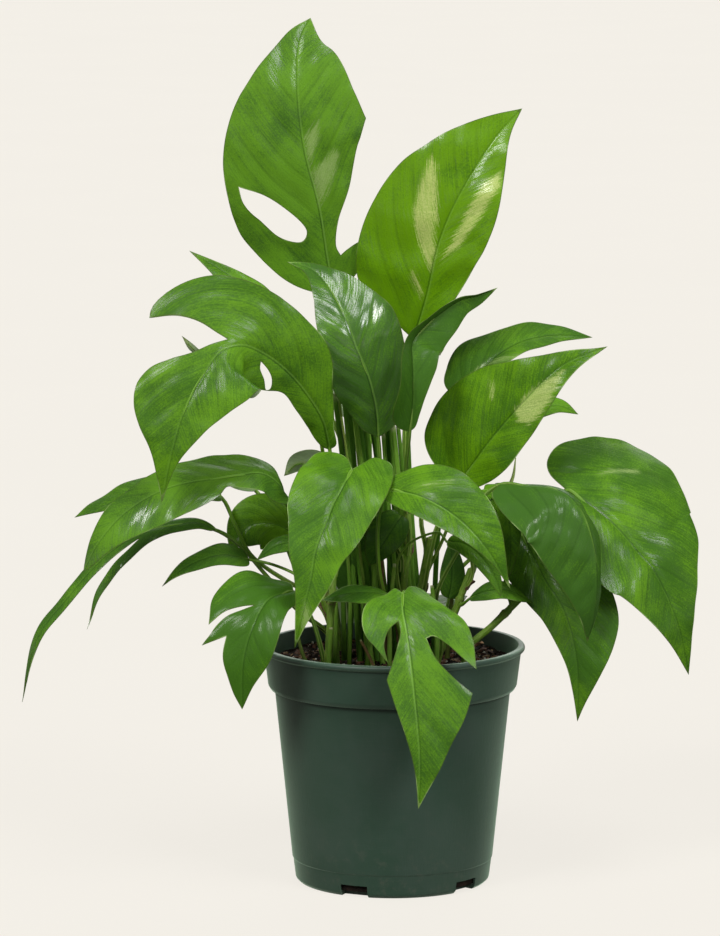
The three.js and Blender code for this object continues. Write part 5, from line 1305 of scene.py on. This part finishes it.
class PLANT_OT_sheaths(bpy.types.Operator):
    """Makes the dry papery sheaths that cling to the stems at their nodes"""

    bl_idname = "plant.make_sheaths"
    bl_label = "Dry sheaths"

    COLUMNS, ROWS = 15, 18
    HALF_THICKNESS = 0.14
    # Stem, height, turn about it in degrees and length
    SPOTS = (
        ("front_left", 182, 80, 8), ("centre", 152, -50, 16), ("centre", 170, 75, 14),
        ("centre", 205, 150, 12), ("right", 158, 100, 11), ("right", 186, 60, 8),
        ("far_right", 152, 60, 8), ("left", 166, -100, 12), ("back", 190, 150, 16),
        ("back", 160, 60, 14), ("back_right", 172, 120, 14), ("back_left", 170, 200, 14),
    )

    def execute(self, context):
        build = Build()
        rng = random.Random(11)
        for stem, height, turn, length in self.SPOTS:
            self.add_sheath(build, Path(STEMS[stem]), height, math.radians(turn), length, rng)
        build.place("dry_sheaths", [sheath_paper()], "stem")
        return {"FINISHED"}

    def add_sheath(self, build, path, height, turn, length, rng):
        columns, rows = self.COLUMNS, self.ROWS
        low = np.searchsorted(path.line[:, 2], height)
        start = path.reach[min(low, len(path.reach) - 1)]
        u, v = np.meshgrid(np.linspace(-1, 1, columns), np.linspace(0, 1, rows))
        steps = np.minimum(start + v[:, 0] * length * 0.95, path.length + 3)
        centres, tangents = path.at(steps), path.tangent(steps)
        fronts = carried((math.sin(turn), -math.cos(turn), 0), tangents)
        sideways = np.cross(tangents, fronts)
        half_angle = math.radians(rng.uniform(38, 62)) * (1 - v**2.2) + 0.04
        wobble = [rng.uniform(0, 6) for _ in range(3)]
        half_angle *= 1 + 0.2 * np.sin(v * 9 + wobble[0]) * (v > 0)
        angle = u * half_angle
        radius = STEM_RADIUS + 0.5 + 1.5 * v**1.6 + 0.25 * np.sin(u * 5 + v * 7 + wobble[1])
        radius += 1.2 * np.abs(u) ** 3 * v
        verts = []
        for skin in (self.HALF_THICKNESS, -self.HALF_THICKNESS):
            reach = (radius + skin)[..., None]
            verts.append((
                centres[:, None] + np.cos(angle)[..., None] * fronts[:, None] * reach
                + np.sin(angle)[..., None] * sideways[:, None] * reach
            ).reshape(-1, 3))
        n = columns * rows
        faces = []
        for i in range(rows - 1):
            for k in range(columns - 1):
                a = i * columns + k
                quad = (a, a + 1, a + columns + 1, a + columns)
                faces += [quad, tuple(n + j for j in reversed(quad))]
        edge = list(range(columns))
        edge += [i * columns + columns - 1 for i in range(1, rows)]
        edge += [(rows - 1) * columns + k for k in range(columns - 2, -1, -1)]
        edge += [i * columns for i in range(rows - 2, 0, -1)]
        for a, b in zip(edge, edge[1:] + edge[:1]):
            faces.append((b, a, n + a, n + b))
        state = np.stack([np.abs(u).ravel(), v.ravel(), np.full(n, wobble[2])], 1)
        build.add(np.concatenate(verts), faces, 0, sheath=np.concatenate([state, state]))


def sheath_paper():
    finish = Finish("Dry sheath")
    across, along, seed = finish.split(finish.attribute("sheath"))
    fibre = finish.noise(finish.vector(across * 16, along * 1.2, seed), 1, 4, 0.7)
    blotch = finish.noise(finish.vector(across * 2, along * 3, seed + 5), 1, 3)
    colour = finish.mix(finish.step(blotch, 0.3, 0.7), (0.1, 0.05, 0.022), (0.25, 0.15, 0.075))
    colour = finish.mix(finish.step(fibre, 0.35, 0.7, 0, 0.7), colour, (0.05, 0.025, 0.012))
    return finish.surface(colour, finish.step(fibre, 0.3, 0.7, 0.55, 0.75), fibre, 0.25)


class PLANT_OT_new_leaf(bpy.types.Operator):
    """Makes the rolled new leaf, with the seam that winds up it"""

    bl_idname = "plant.make_new_leaf"
    bl_label = "Rolled new leaf"

    SIDES, RINGS = 32, 60
    TIP_RADIUS, EXTRA_RADIUS = 0.3, 1.9
    SEAM_START, SEAM_TWIST = 0.6, 1.8
    LAP = 0.2

    def execute(self, context):
        path = Path(NEW_LEAF)
        steps = np.linspace(0, path.length, self.RINGS)
        share = steps / path.length
        radius = self.TIP_RADIUS + self.EXTRA_RADIUS * np.sin(math.pi * (0.25 + 0.75 * share))
        seam = self.SEAM_START + self.SEAM_TWIST * share
        turn = (around(self.SIDES)[None, :] - seam[:, None]) % math.tau / math.tau
        form = 1 + self.LAP * (turn - 0.5) * np.clip(3 * (1 - share), 0, 1)[:, None]
        state = np.stack([turn, share[:, None] + 0 * turn, 0 * turn], -1).reshape(-1, 3)
        build = Build()
        build.add(*swept(path, steps, radius[:, None] * form), sheath=state)
        build.place("new_rolled_leaf", [new_leaf_skin()], "new_leaf", "new_leaf_rolled")
        return {"FINISHED"}


def new_leaf_skin():
    finish = Finish("New leaf")
    turn, share, _ = finish.split(finish.attribute("sheath"))
    grain = finish.noise(finish.vector(turn * 30, share * 5, 3), 1, 3)
    colour = finish.mix(finish.step(share, 0, 1), (0.17, 0.33, 0.05), (0.4, 0.47, 0.16))
    colour = finish.mix(finish.step(grain, 0.3, 0.7, 0, 0.5), colour, (0.26, 0.42, 0.08))
    seam = finish.step(turn, 0.93, 1, 0, 0.7)
    colour = finish.mix(seam, colour, (0.5, 0.53, 0.24))
    return finish.surface(colour, finish.step(grain, 0.3, 0.7, 0.34, 0.44), grain, 0.15)


# ---- Pot


def rounded(corners, radius, steps=4):
    """A line whose corners are cut by small arcs."""
    spots = [np.array(corner, float) for corner in corners]
    line = [spots[0]]
    for before, corner, after in zip(spots, spots[1:], spots[2:]):
        reach = [np.linalg.norm(before - corner), np.linalg.norm(after - corner)]
        cut = min(radius, 0.45 * reach[0], 0.45 * reach[1])
        start = corner + (before - corner) / reach[0] * cut
        end = corner + (after - corner) / reach[1] * cut
        for k in range(steps + 1):
            t = k / steps
            line.append((1 - t) ** 2 * start + 2 * t * (1 - t) * corner + t * t * end)
    line.append(spots[-1])
    return line


def turned(profile, sides):
    """A closed body turned from a profile that starts and ends on the axis."""
    rings = profile[1:-1]
    turns = [(math.cos(angle), math.sin(angle)) for angle in around(sides)]
    verts = [(0, 0, profile[0][1])]
    verts += [(r * c, r * s, z) for r, z in rings for c, s in turns]
    verts.append((0, 0, profile[-1][1]))
    return verts, closed_faces(len(rings), sides)


def wall_radius(z):
    return BASE_RADIUS + (WALL_TOP_RADIUS - BASE_RADIUS) * z / BAND_LOW_Z


def block(centre, size, turn):
    """Vertices and faces of a box, turned about Z."""
    spin = Matrix.Rotation(turn, 3, "Z")
    verts = [
        Vector(centre) + spin @ (Vector((x, y, z)) * Vector(size) / 2)
        for x in (-1, 1) for y in (-1, 1) for z in (-1, 1)
    ]
    faces = ((0, 1, 3, 2), (4, 6, 7, 5), (0, 4, 5, 1), (2, 3, 7, 6), (0, 2, 6, 4), (1, 5, 7, 3))
    return verts, faces


class PLANT_OT_pot(bpy.types.Operator):
    """Makes the nursery pot: wall, rim band with its lip, floor and drain notches"""

    bl_idname = "plant.make_pot"
    bl_label = "Pot"

    SIDES = 192
    CORNER_RADIUS = 0.7
    LONGEST_STEP = 12
    SHARP_ANGLE = 40

    def execute(self, context):
        look = context.scene.plant_pot
        outside = [
            (BASE_RADIUS - 2, 0), (BASE_RADIUS, 2), (wall_radius(RIDGE_Z), RIDGE_Z),
            (wall_radius(RIDGE_Z) + 0.5, RIDGE_Z + 0.5), (WALL_TOP_RADIUS, BAND_LOW_Z + 0.5),
            (BAND_LOW_RADIUS - 1.5, BAND_LOW_Z), (BAND_LOW_RADIUS, BAND_LOW_Z + 2.5),
            (BAND_TOP_RADIUS, POT_HEIGHT - 4), (LIP_RADIUS, POT_HEIGHT - 2.8),
            (LIP_RADIUS, POT_HEIGHT - 1), (LIP_RADIUS - 1, POT_HEIGHT),
        ]
        inside_line = [
            (LIP_RADIUS - LIP_WIDTH, POT_HEIGHT),
            (BAND_LOW_RADIUS - WALL_THICKNESS, BAND_LOW_Z + 3),
            (WALL_TOP_RADIUS - WALL_THICKNESS, BAND_LOW_Z - 1),
            (wall_radius(FLOOR_THICKNESS) - WALL_THICKNESS, FLOOR_THICKNESS),
        ]
        corners = [(0, 0), *outside, *inside_line, (0, FLOOR_THICKNESS)]
        fine = rounded(corners, self.CORNER_RADIUS)
        line = [fine[0]]
        for last, point in zip(fine, fine[1:]):
            parts = max(1, int(np.linalg.norm(point - last) / self.LONGEST_STEP))
            line += [last + (point - last) * (k + 1) / parts for k in range(parts)]
        body = Build()
        body.add(*turned(line, self.SIDES))
        cuts = Build()
        for k in range(NOTCH_COUNT):
            angle = math.radians(NOTCH_FIRST_ANGLE - 90 + k * 360 / NOTCH_COUNT)
            reach = BASE_RADIUS - 1
            spot = (math.cos(angle) * reach, math.sin(angle) * reach)
            size = (NOTCH_DEPTH, NOTCH_WIDTH, NOTCH_HEIGHT * 2)
            cuts.add(*block((*spot, 0), size, angle))
        mesh = carved(body.mesh("pot body"), cuts.mesh("pot cuts"))
        mesh.shade_smooth()
        mesh.set_sharp_from_angle(angle=math.radians(self.SHARP_ANGLE))
        place("nursery_pot", mesh, [pot_plastic(look)], "pot_plastic", "pot")
        return {"FINISHED"}


def carved(mesh, cutter):
    """The mesh with another taken out of it."""
    scene = bpy.context.scene
    body, tool = (bpy.data.objects.new(m.name, m) for m in (mesh, cutter))
    for piece in (body, tool):
        scene.collection.objects.link(piece)
    step = body.modifiers.new("Cut", "BOOLEAN")
    step.operation, step.solver, step.object = "DIFFERENCE", "EXACT", tool
    graph = bpy.context.evaluated_depsgraph_get()
    result = bpy.data.meshes.new_from_object(body.evaluated_get(graph))
    for piece in (body, tool):
        bpy.data.objects.remove(piece)
    return result


def pot_plastic(look):
    finish = Finish("Pot plastic")
    spot = finish.place()
    x, y, z = finish.split(spot)
    cloud = finish.noise(spot, 22, 4, 0.6)
    colour = finish.mix(finish.step(cloud, 0.35, 0.65), look.colour[:], (0.026, 0.052, 0.036))
    flow = finish.noise(finish.vector(x * 60, y * 60, z * 700), 1, 3, 0.6)
    colour = finish.mix(finish.step(flow, 0.5, 0.8, 0, 0.35), colour, (0.03, 0.06, 0.042))
    # Thin lighter lines along the lip's top edge and along the band's lower edge.
    worn = finish.step(abs(z - (POT_HEIGHT - 0.4) * MM), 0.0002, 0.0007, 0.45, 0)
    worn = worn + finish.step(abs(z - (BAND_LOW_Z + 0.3) * MM), 0.0002, 0.0009, 0.35, 0)
    colour = finish.mix(worn, colour, (0.055, 0.1, 0.075))
    dust = finish.noise(spot, 160, 3, 0.7)
    low = finish.step(z, 0, 0.05, 0.45, 0.08)
    colour = finish.mix(finish.step(dust, 0.5, 0.75) * low, colour, (0.075, 0.08, 0.06))
    scratch = finish.noise(finish.vector(x * 900, y * 900, z * 60), 1, 2)
    rough = finish.step(cloud + (dust - 0.5) * 0.4, 0.3, 0.75, 0.42, 0.56)
    relief = dust * 0.5 + scratch * 0.35 + flow * 0.3
    return finish.surface(
        colour, rough, relief, 0.12, Specular_IOR_Level=0.42, Sheen_Weight=0.85,
        Sheen_Roughness=0.4, Sheen_Tint=(0.6, 0.85, 0.62, 1),
    )


# ---- Potting mix


def mix_height(x, y):
    slow = math.sin(0.07 * x + 1) * math.cos(0.06 * y)
    quick = math.sin(0.21 * x) * math.sin(0.24 * y + 2)
    return MIX_TOP_Z + MIX_RELIEF * (slow + 0.5 * quick)


def rim_radius(z):
    """Inside of the pot at a height near the top of the mix."""
    low, high = BAND_LOW_Z + 3, POT_HEIGHT
    share = (z - low) / (high - low)
    inner, outer = BAND_LOW_RADIUS - WALL_THICKNESS, LIP_RADIUS - LIP_WIDTH
    return inner + (outer - inner) * share


class PLANT_OT_mix(bpy.types.Operator):
    """Makes the potting mix: its crumbly body, bark chips, crumbs and white grains"""

    bl_idname = "plant.make_mix"
    bl_label = "Potting mix"

    SIDES, RINGS = 220, 64

    def execute(self, context):
        counts = context.scene.plant_mix
        body = Build()
        sides, rings = self.SIDES, self.RINGS
        edge = rim_radius(MIX_TOP_Z) - GAP - 0.2
        verts = [(0, 0, FLOOR_THICKNESS + GAP)]
        base = wall_radius(FLOOR_THICKNESS) - WALL_THICKNESS - GAP - 0.4
        walls = ((base, FLOOR_THICKNESS + GAP), (WALL_TOP_RADIUS - 2.6, BAND_LOW_Z - 1.5),
                 (BAND_LOW_RADIUS - 2.6, BAND_LOW_Z + 3))
        radii = [r for r, _ in walls] + [edge * k / rings for k in range(rings, 0, -1)]
        for i, radius in enumerate(radii):
            for angle in around(sides):
                x, y = radius * math.cos(angle), radius * math.sin(angle)
                z = walls[i][1] if i < len(walls) else self.surface(x, y)
                verts.append((x, y, z))
        verts.append((0, 0, self.surface(0, 0)))
        body.add(verts, closed_faces(len(radii), sides))
        body.place("mix_body", [mix_soil()], "potting_mix", "potting_mix")
        rng = random.Random(5)
        chips = Build()
        for _ in range(counts.chips):
            size = rng.uniform(0.9, 2.4) * rng.choice((0.8, 1, 1.5))
            self.scatter(chips, rng, (size, size * rng.uniform(0.35, 0.7), size * 0.3), 0.25)
        chips.place("bark_chips", [mix_bark()], "potting_mix")
        for name, count, low, high, height, lift, finish in (
            ("mix_crumbs", counts.crumbs, 0.4, 1.1, 0.8, 0.1, mix_soil()),
            ("white_grains", counts.grains, 0.35, 0.8, 1, 0.4, white_grain()),
        ):
            lumps = Build()
            for _ in range(count):
                size = rng.uniform(low, high)
                self.scatter(lumps, rng, (size, size, size * height), lift, 1)
            lumps.place(name, [finish], "potting_mix")
        return {"FINISHED"}

    @staticmethod
    def surface(x, y):
        rough = noise.fractal(Vector((x, y, 0)) * 0.32, 0.9, 2.2, 4)
        return mix_height(x, y) + MIX_ROUGHNESS * rough

    def scatter(self, build, rng, size, lift, detail=2):
        """Drops one rough lump on the mix, away from the wall."""
        reach = (rim_radius(MIX_TOP_Z) - 2.2 - 1.5 * size[0]) * math.sqrt(rng.random())
        angle = rng.uniform(0, math.tau)
        x, y = reach * math.cos(angle), reach * math.sin(angle)
        z = self.surface(x, y) + size[2] * lift
        shape, faces = LUMPS[detail]
        shift = Vector((rng.uniform(0, 99), rng.uniform(0, 99), rng.uniform(0, 99)))
        worn = [1 + 0.35 * noise.noise(Vector(p) * 1.4 + shift) for p in shape]
        spots = np.array(shape) * np.array(worn)[:, None] * np.array(size)
        turn, lean = rng.uniform(0, math.tau), rng.uniform(-0.5, 0.5)
        cos_lean, sin_lean = math.cos(lean), math.sin(lean)
        tilted = np.array([[cos_lean, 0, sin_lean], [0, 1, 0], [-sin_lean, 0, cos_lean]])
        spun = np.array([
            [math.cos(turn), -math.sin(turn), 0], [math.sin(turn), math.cos(turn), 0], [0, 0, 1],
        ])
        spots = spots @ tilted.T @ spun.T + np.array([x, y, z])
        build.add(spots, faces, 0, seed=(rng.random(), rng.random(), rng.random()))


def lump(detail):
    """A rounded block: a cube whose faces are cut into squares and half blown up to a ball."""
    grid = [2 * k / detail - 1 for k in range(detail + 1)]
    found, faces = {}, []

    def corner(point):
        return found.setdefault(tuple(round(v, 4) for v in point), len(found))

    for axis in range(3):
        for side in (-1, 1):
            for i in range(detail):
                for k in range(detail):
                    quad = [(grid[i], grid[k]), (grid[i + 1], grid[k]),
                            (grid[i + 1], grid[k + 1]), (grid[i], grid[k + 1])]
                    ids = []
                    for a, b in quad if side > 0 else reversed(quad):
                        point = [a, b]
                        point.insert(axis, side)
                        ids.append(corner(point))
                    faces.append(tuple(ids) if axis != 1 else tuple(reversed(ids)))
    spots = np.array(list(found))
    ball = spots / np.linalg.norm(spots, axis=1, keepdims=True)
    return (spots * 0.45 + ball * 0.55).tolist(), faces


LUMPS = {1: lump(2), 2: lump(3)}


def mix_soil():
    finish = Finish("Potting mix")
    spot = finish.place()
    grain = finish.noise(spot, 500, 4, 0.7)
    cloud = finish.noise(spot, 90, 3)
    damp, dry = (0.006, 0.0035, 0.002), (0.018, 0.01, 0.006)
    colour = finish.mix(finish.step(cloud, 0.35, 0.65), damp, dry)
    colour = finish.mix(finish.step(grain, 0.55, 0.75, 0, 0.6), colour, (0.045, 0.025, 0.013))
    rough = finish.step(grain, 0.3, 0.7, 0.8, 0.95)
    return finish.surface(colour, rough, grain, 0.6, Specular_IOR_Level=0.2)


def mix_bark():
    finish = Finish("Bark")
    kind, shade, seed = finish.split(finish.attribute("seed"))
    spot = finish.place()
    fibre = finish.noise(spot, 650, 4, 0.7)
    red = finish.mix(shade, (0.05, 0.018, 0.009), (0.16, 0.06, 0.025))
    tan = finish.mix(finish.step(shade, 0.3, 1), (0.018, 0.01, 0.006), (0.25, 0.16, 0.06))
    colour = finish.mix(finish.step(kind, 0.45, 0.55), red, tan)
    colour = finish.mix(finish.step(fibre, 0.4, 0.7, 0, 0.6), colour, (0.03, 0.014, 0.008))
    return finish.surface(colour, finish.step(fibre, 0.3, 0.7, 0.65, 0.9), fibre, 0.5)


def white_grain():
    finish = Finish("White grain")
    grain = finish.noise(finish.place(), 1200, 3, 0.7)
    colour = finish.mix(finish.step(grain, 0.35, 0.7), (0.72, 0.7, 0.64), (0.5, 0.46, 0.38))
    return finish.surface(colour, finish.step(grain, 0.3, 0.7, 0.7, 0.9), grain, 0.4)


# ---- Stage


class PLANT_OT_stage(bpy.types.Operator):
    """Makes the pale floor, the soft lights and the camera"""

    bl_idname = "plant.make_stage"
    bl_label = "Stage"

    FLOOR_SIZE = 80000
    FLOOR_DROP = 0.2
    CAMERA_SPOT = (-20.3, -3000, 679)

    def execute(self, context):
        scene = context.scene
        look = scene.plant_stage
        build = Build()
        half, z = self.FLOOR_SIZE / 2, -self.FLOOR_DROP
        corners = [(-half, -half, z), (half, -half, z), (half, half, z), (-half, half, z)]
        build.add(corners, [range(4)])
        floor = bpy.data.objects.new("pale_floor", build.mesh("pale_floor"))
        scene.collection.objects.link(floor)
        floor.data.materials.append(floor_paper(look))
        floor.visible_diffuse = floor.visible_glossy = False

        scene.world = studio_light(look)
        for name, turn, height, angle, strength, colour in (
            ("Key light", -35, 40, 20, look.key, (1, 0.985, 0.96)),
            ("Fill light", 40, 33, 22, look.fill, (0.98, 0.99, 1)),
            ("Top light", 15, 66, 24, look.top, (1, 1, 1)),
            ("Back light", 175, 30, 40, look.back, (1, 1, 1)),
        ):
            lamp = bpy.data.lights.new(name, "SUN")
            lamp.energy, lamp.angle, lamp.color = strength, math.radians(angle), colour
            light = bpy.data.objects.new(name, lamp)
            scene.collection.objects.link(light)
            turn, height = math.radians(turn), math.radians(height)
            towards = Vector((
                math.sin(turn) * math.cos(height), -math.cos(turn) * math.cos(height),
                math.sin(height),
            ))
            light.rotation_euler = towards.to_track_quat("Z", "Y").to_euler()

        lens = bpy.data.cameras.new("Camera")
        lens.lens, lens.sensor_width, lens.sensor_fit = look.lens, 36, "AUTO"
        lens.clip_start, lens.clip_end = 0.1, 200
        camera = bpy.data.objects.new("Camera", lens)
        scene.collection.objects.link(camera)
        camera.location = Vector(self.CAMERA_SPOT) * MM
        camera.rotation_euler = (math.radians(90) - look.pitch, 0, 0)
        scene.camera = camera
        scene.view_settings.view_transform = "Standard"
        return {"FINISHED"}


def studio_light(look):
    """Even light: dim from above and below, with a bright rim behind the floor's far edge."""
    finish = Finish("Studio", "worlds")
    direction = finish.add("ShaderNodeTexCoord", {}, {}, "Generated")
    height = finish.split(direction)[2] * 0.5 + 0.5
    levels = ((0, look.bounce), (0.46, look.bounce), (0.48, 1), (0.52, 1), (0.58, look.ambient),
              (1, look.ambient))
    stops = [(spot, tuple(c * level for c in look.colour)) for spot, level in levels]
    colour = finish.add("ShaderNodeValToRGB", {"stops": stops}, {"Fac": height})
    sky = finish.add("ShaderNodeBackground", {}, {"Color": colour})
    finish.add("ShaderNodeOutputWorld", {}, {"Surface": sky})
    return finish.material


def floor_paper(look):
    """Pale paper that glows a little, so that shadows on it stay faint."""
    finish = Finish("Pale floor")
    grain = finish.noise(finish.place(), 3, 2)
    dim = [c * 0.995 for c in look.colour]
    tint = finish.mix(finish.step(grain, 0.3, 0.7), look.colour[:], dim)
    inputs = {"Base Color": tint, "Roughness": 0.9, "Specular IOR Level": 0.1}
    paper = finish.add("ShaderNodeBsdfPrincipled", {}, inputs)
    glow = finish.add("ShaderNodeEmission", {}, {"Color": tint, "Strength": 1.0})
    shader = finish.add("ShaderNodeMixShader", {}, {0: look.glow, 1: paper, 2: glow})
    finish.add("ShaderNodeOutputMaterial", {}, {"Surface": shader})
    return finish.material


# ---- Add-on


def amount(name, description, default, high, low=0, **more):
    """A number that a user may change."""
    return FloatProperty(
        name=name, description=description, default=default, min=low, max=high, **more,
    )


def count(name, description, default, high):
    return IntProperty(name=name, description=description, default=default, min=0, max=high)


def tint(name, description, default):
    return FloatVectorProperty(
        name=name, description=description, default=default, subtype="COLOR", min=0, max=1,
    )


class PlantPot(bpy.types.PropertyGroup):
    colour: tint("Pot colour", "Green of the moulded pot", (0.019, 0.047, 0.029))


class PlantLeaf(bpy.types.PropertyGroup):
    groove: amount(
        "Stalk groove", "Depth of the groove down each leaf stalk, as a share of its radius", 0.26,
        0.5, subtype="FACTOR",
    )
    vein_spacing: amount(
        "Vein width scale", "Spacing that the drawn side veins are scaled by, in millimetres", 12,
        20, 6,
    )
    cream: tint("Cream", "Colour of the pale patches on some leaves", (0.45, 0.52, 0.16))


class PlantMix(bpy.types.PropertyGroup):
    chips: count("Bark chips", "How many bark chips lie on the mix", 1500, 4000)
    crumbs: count("Crumbs", "How many crumbs lie on the mix", 2200, 6000)
    grains: count("White grains", "How many white grains lie on the mix", 170, 500)


class PlantStage(bpy.types.PropertyGroup):
    colour: tint(
        "Floor colour", "Cream of the floor and of the light around it", (0.881, 0.848, 0.785),
    )
    glow: amount(
        "Floor glow", "Share of the floor that glows, which keeps shadows faint", 0.92, 1,
        subtype="FACTOR",
    )
    ambient: amount("Ambient light", "Strength of the even light from above", 0.14, 5)
    bounce: amount("Bounced light", "Strength of the even light from below", 0.16, 5)
    key: amount("Key light", "Strength of the soft light from the front left", 2.2, 20)
    fill: amount("Fill light", "Strength of the soft light from the front right", 1.6, 20)
    top: amount("Top light", "Strength of the soft light from high in front", 1.1, 20)
    back: amount("Back light", "Strength of the soft light from behind", 0.8, 20)
    lens: amount(
        "Focal length", "Focal length of the camera", 187.8, 400, 20, subtype="DISTANCE_CAMERA",
    )
    pitch: amount(
        "Camera pitch", "How far the camera looks down", math.radians(7.96), 1.5, subtype="ANGLE",
    )


class VIEW3D_PT_plant(bpy.types.Panel):
    """Lists the pieces of the potted plant and their settings"""

    bl_idname = "VIEW3D_PT_plant"
    bl_label = "Potted Plant"
    bl_space_type = "VIEW_3D"
    bl_region_type = "UI"
    bl_category = "Plant"

    def draw(self, context):
        column = self.layout.column()
        for operator in OPERATORS:
            column.operator(operator.bl_idname)
        for name in GROUPS:
            settings = getattr(context.scene, name)
            for key in settings.bl_rna.properties.keys():
                if key not in ("rna_type", "name"):
                    column.prop(settings, key)


GROUPS = {
    "plant_pot": PlantPot,
    "plant_leaf": PlantLeaf,
    "plant_mix": PlantMix,
    "plant_stage": PlantStage,
}
OPERATORS = (
    PLANT_OT_stage, PLANT_OT_pot, PLANT_OT_mix, PLANT_OT_stems, PLANT_OT_old_stalks,
    PLANT_OT_sheaths, PLANT_OT_new_leaf, PLANT_OT_leaves,
)


def register():
    for cls in (*GROUPS.values(), *OPERATORS, VIEW3D_PT_plant):
        bpy.utils.register_class(cls)
    for name, group in GROUPS.items():
        setattr(bpy.types.Scene, name, PointerProperty(type=group))


def unregister():
    for name in GROUPS:
        delattr(bpy.types.Scene, name)
    for cls in reversed((*GROUPS.values(), *OPERATORS, VIEW3D_PT_plant)):
        bpy.utils.unregister_class(cls)


def main():
    register()
    bpy.ops.plant.make_stage()
    bpy.ops.plant.make_pot()
    bpy.ops.plant.make_mix()
    bpy.ops.plant.make_stems()
    bpy.ops.plant.make_old_stalks()
    bpy.ops.plant.make_sheaths()
    bpy.ops.plant.make_new_leaf()
    bpy.ops.plant.make_leaves()


if __name__ == "__main__":
    main()
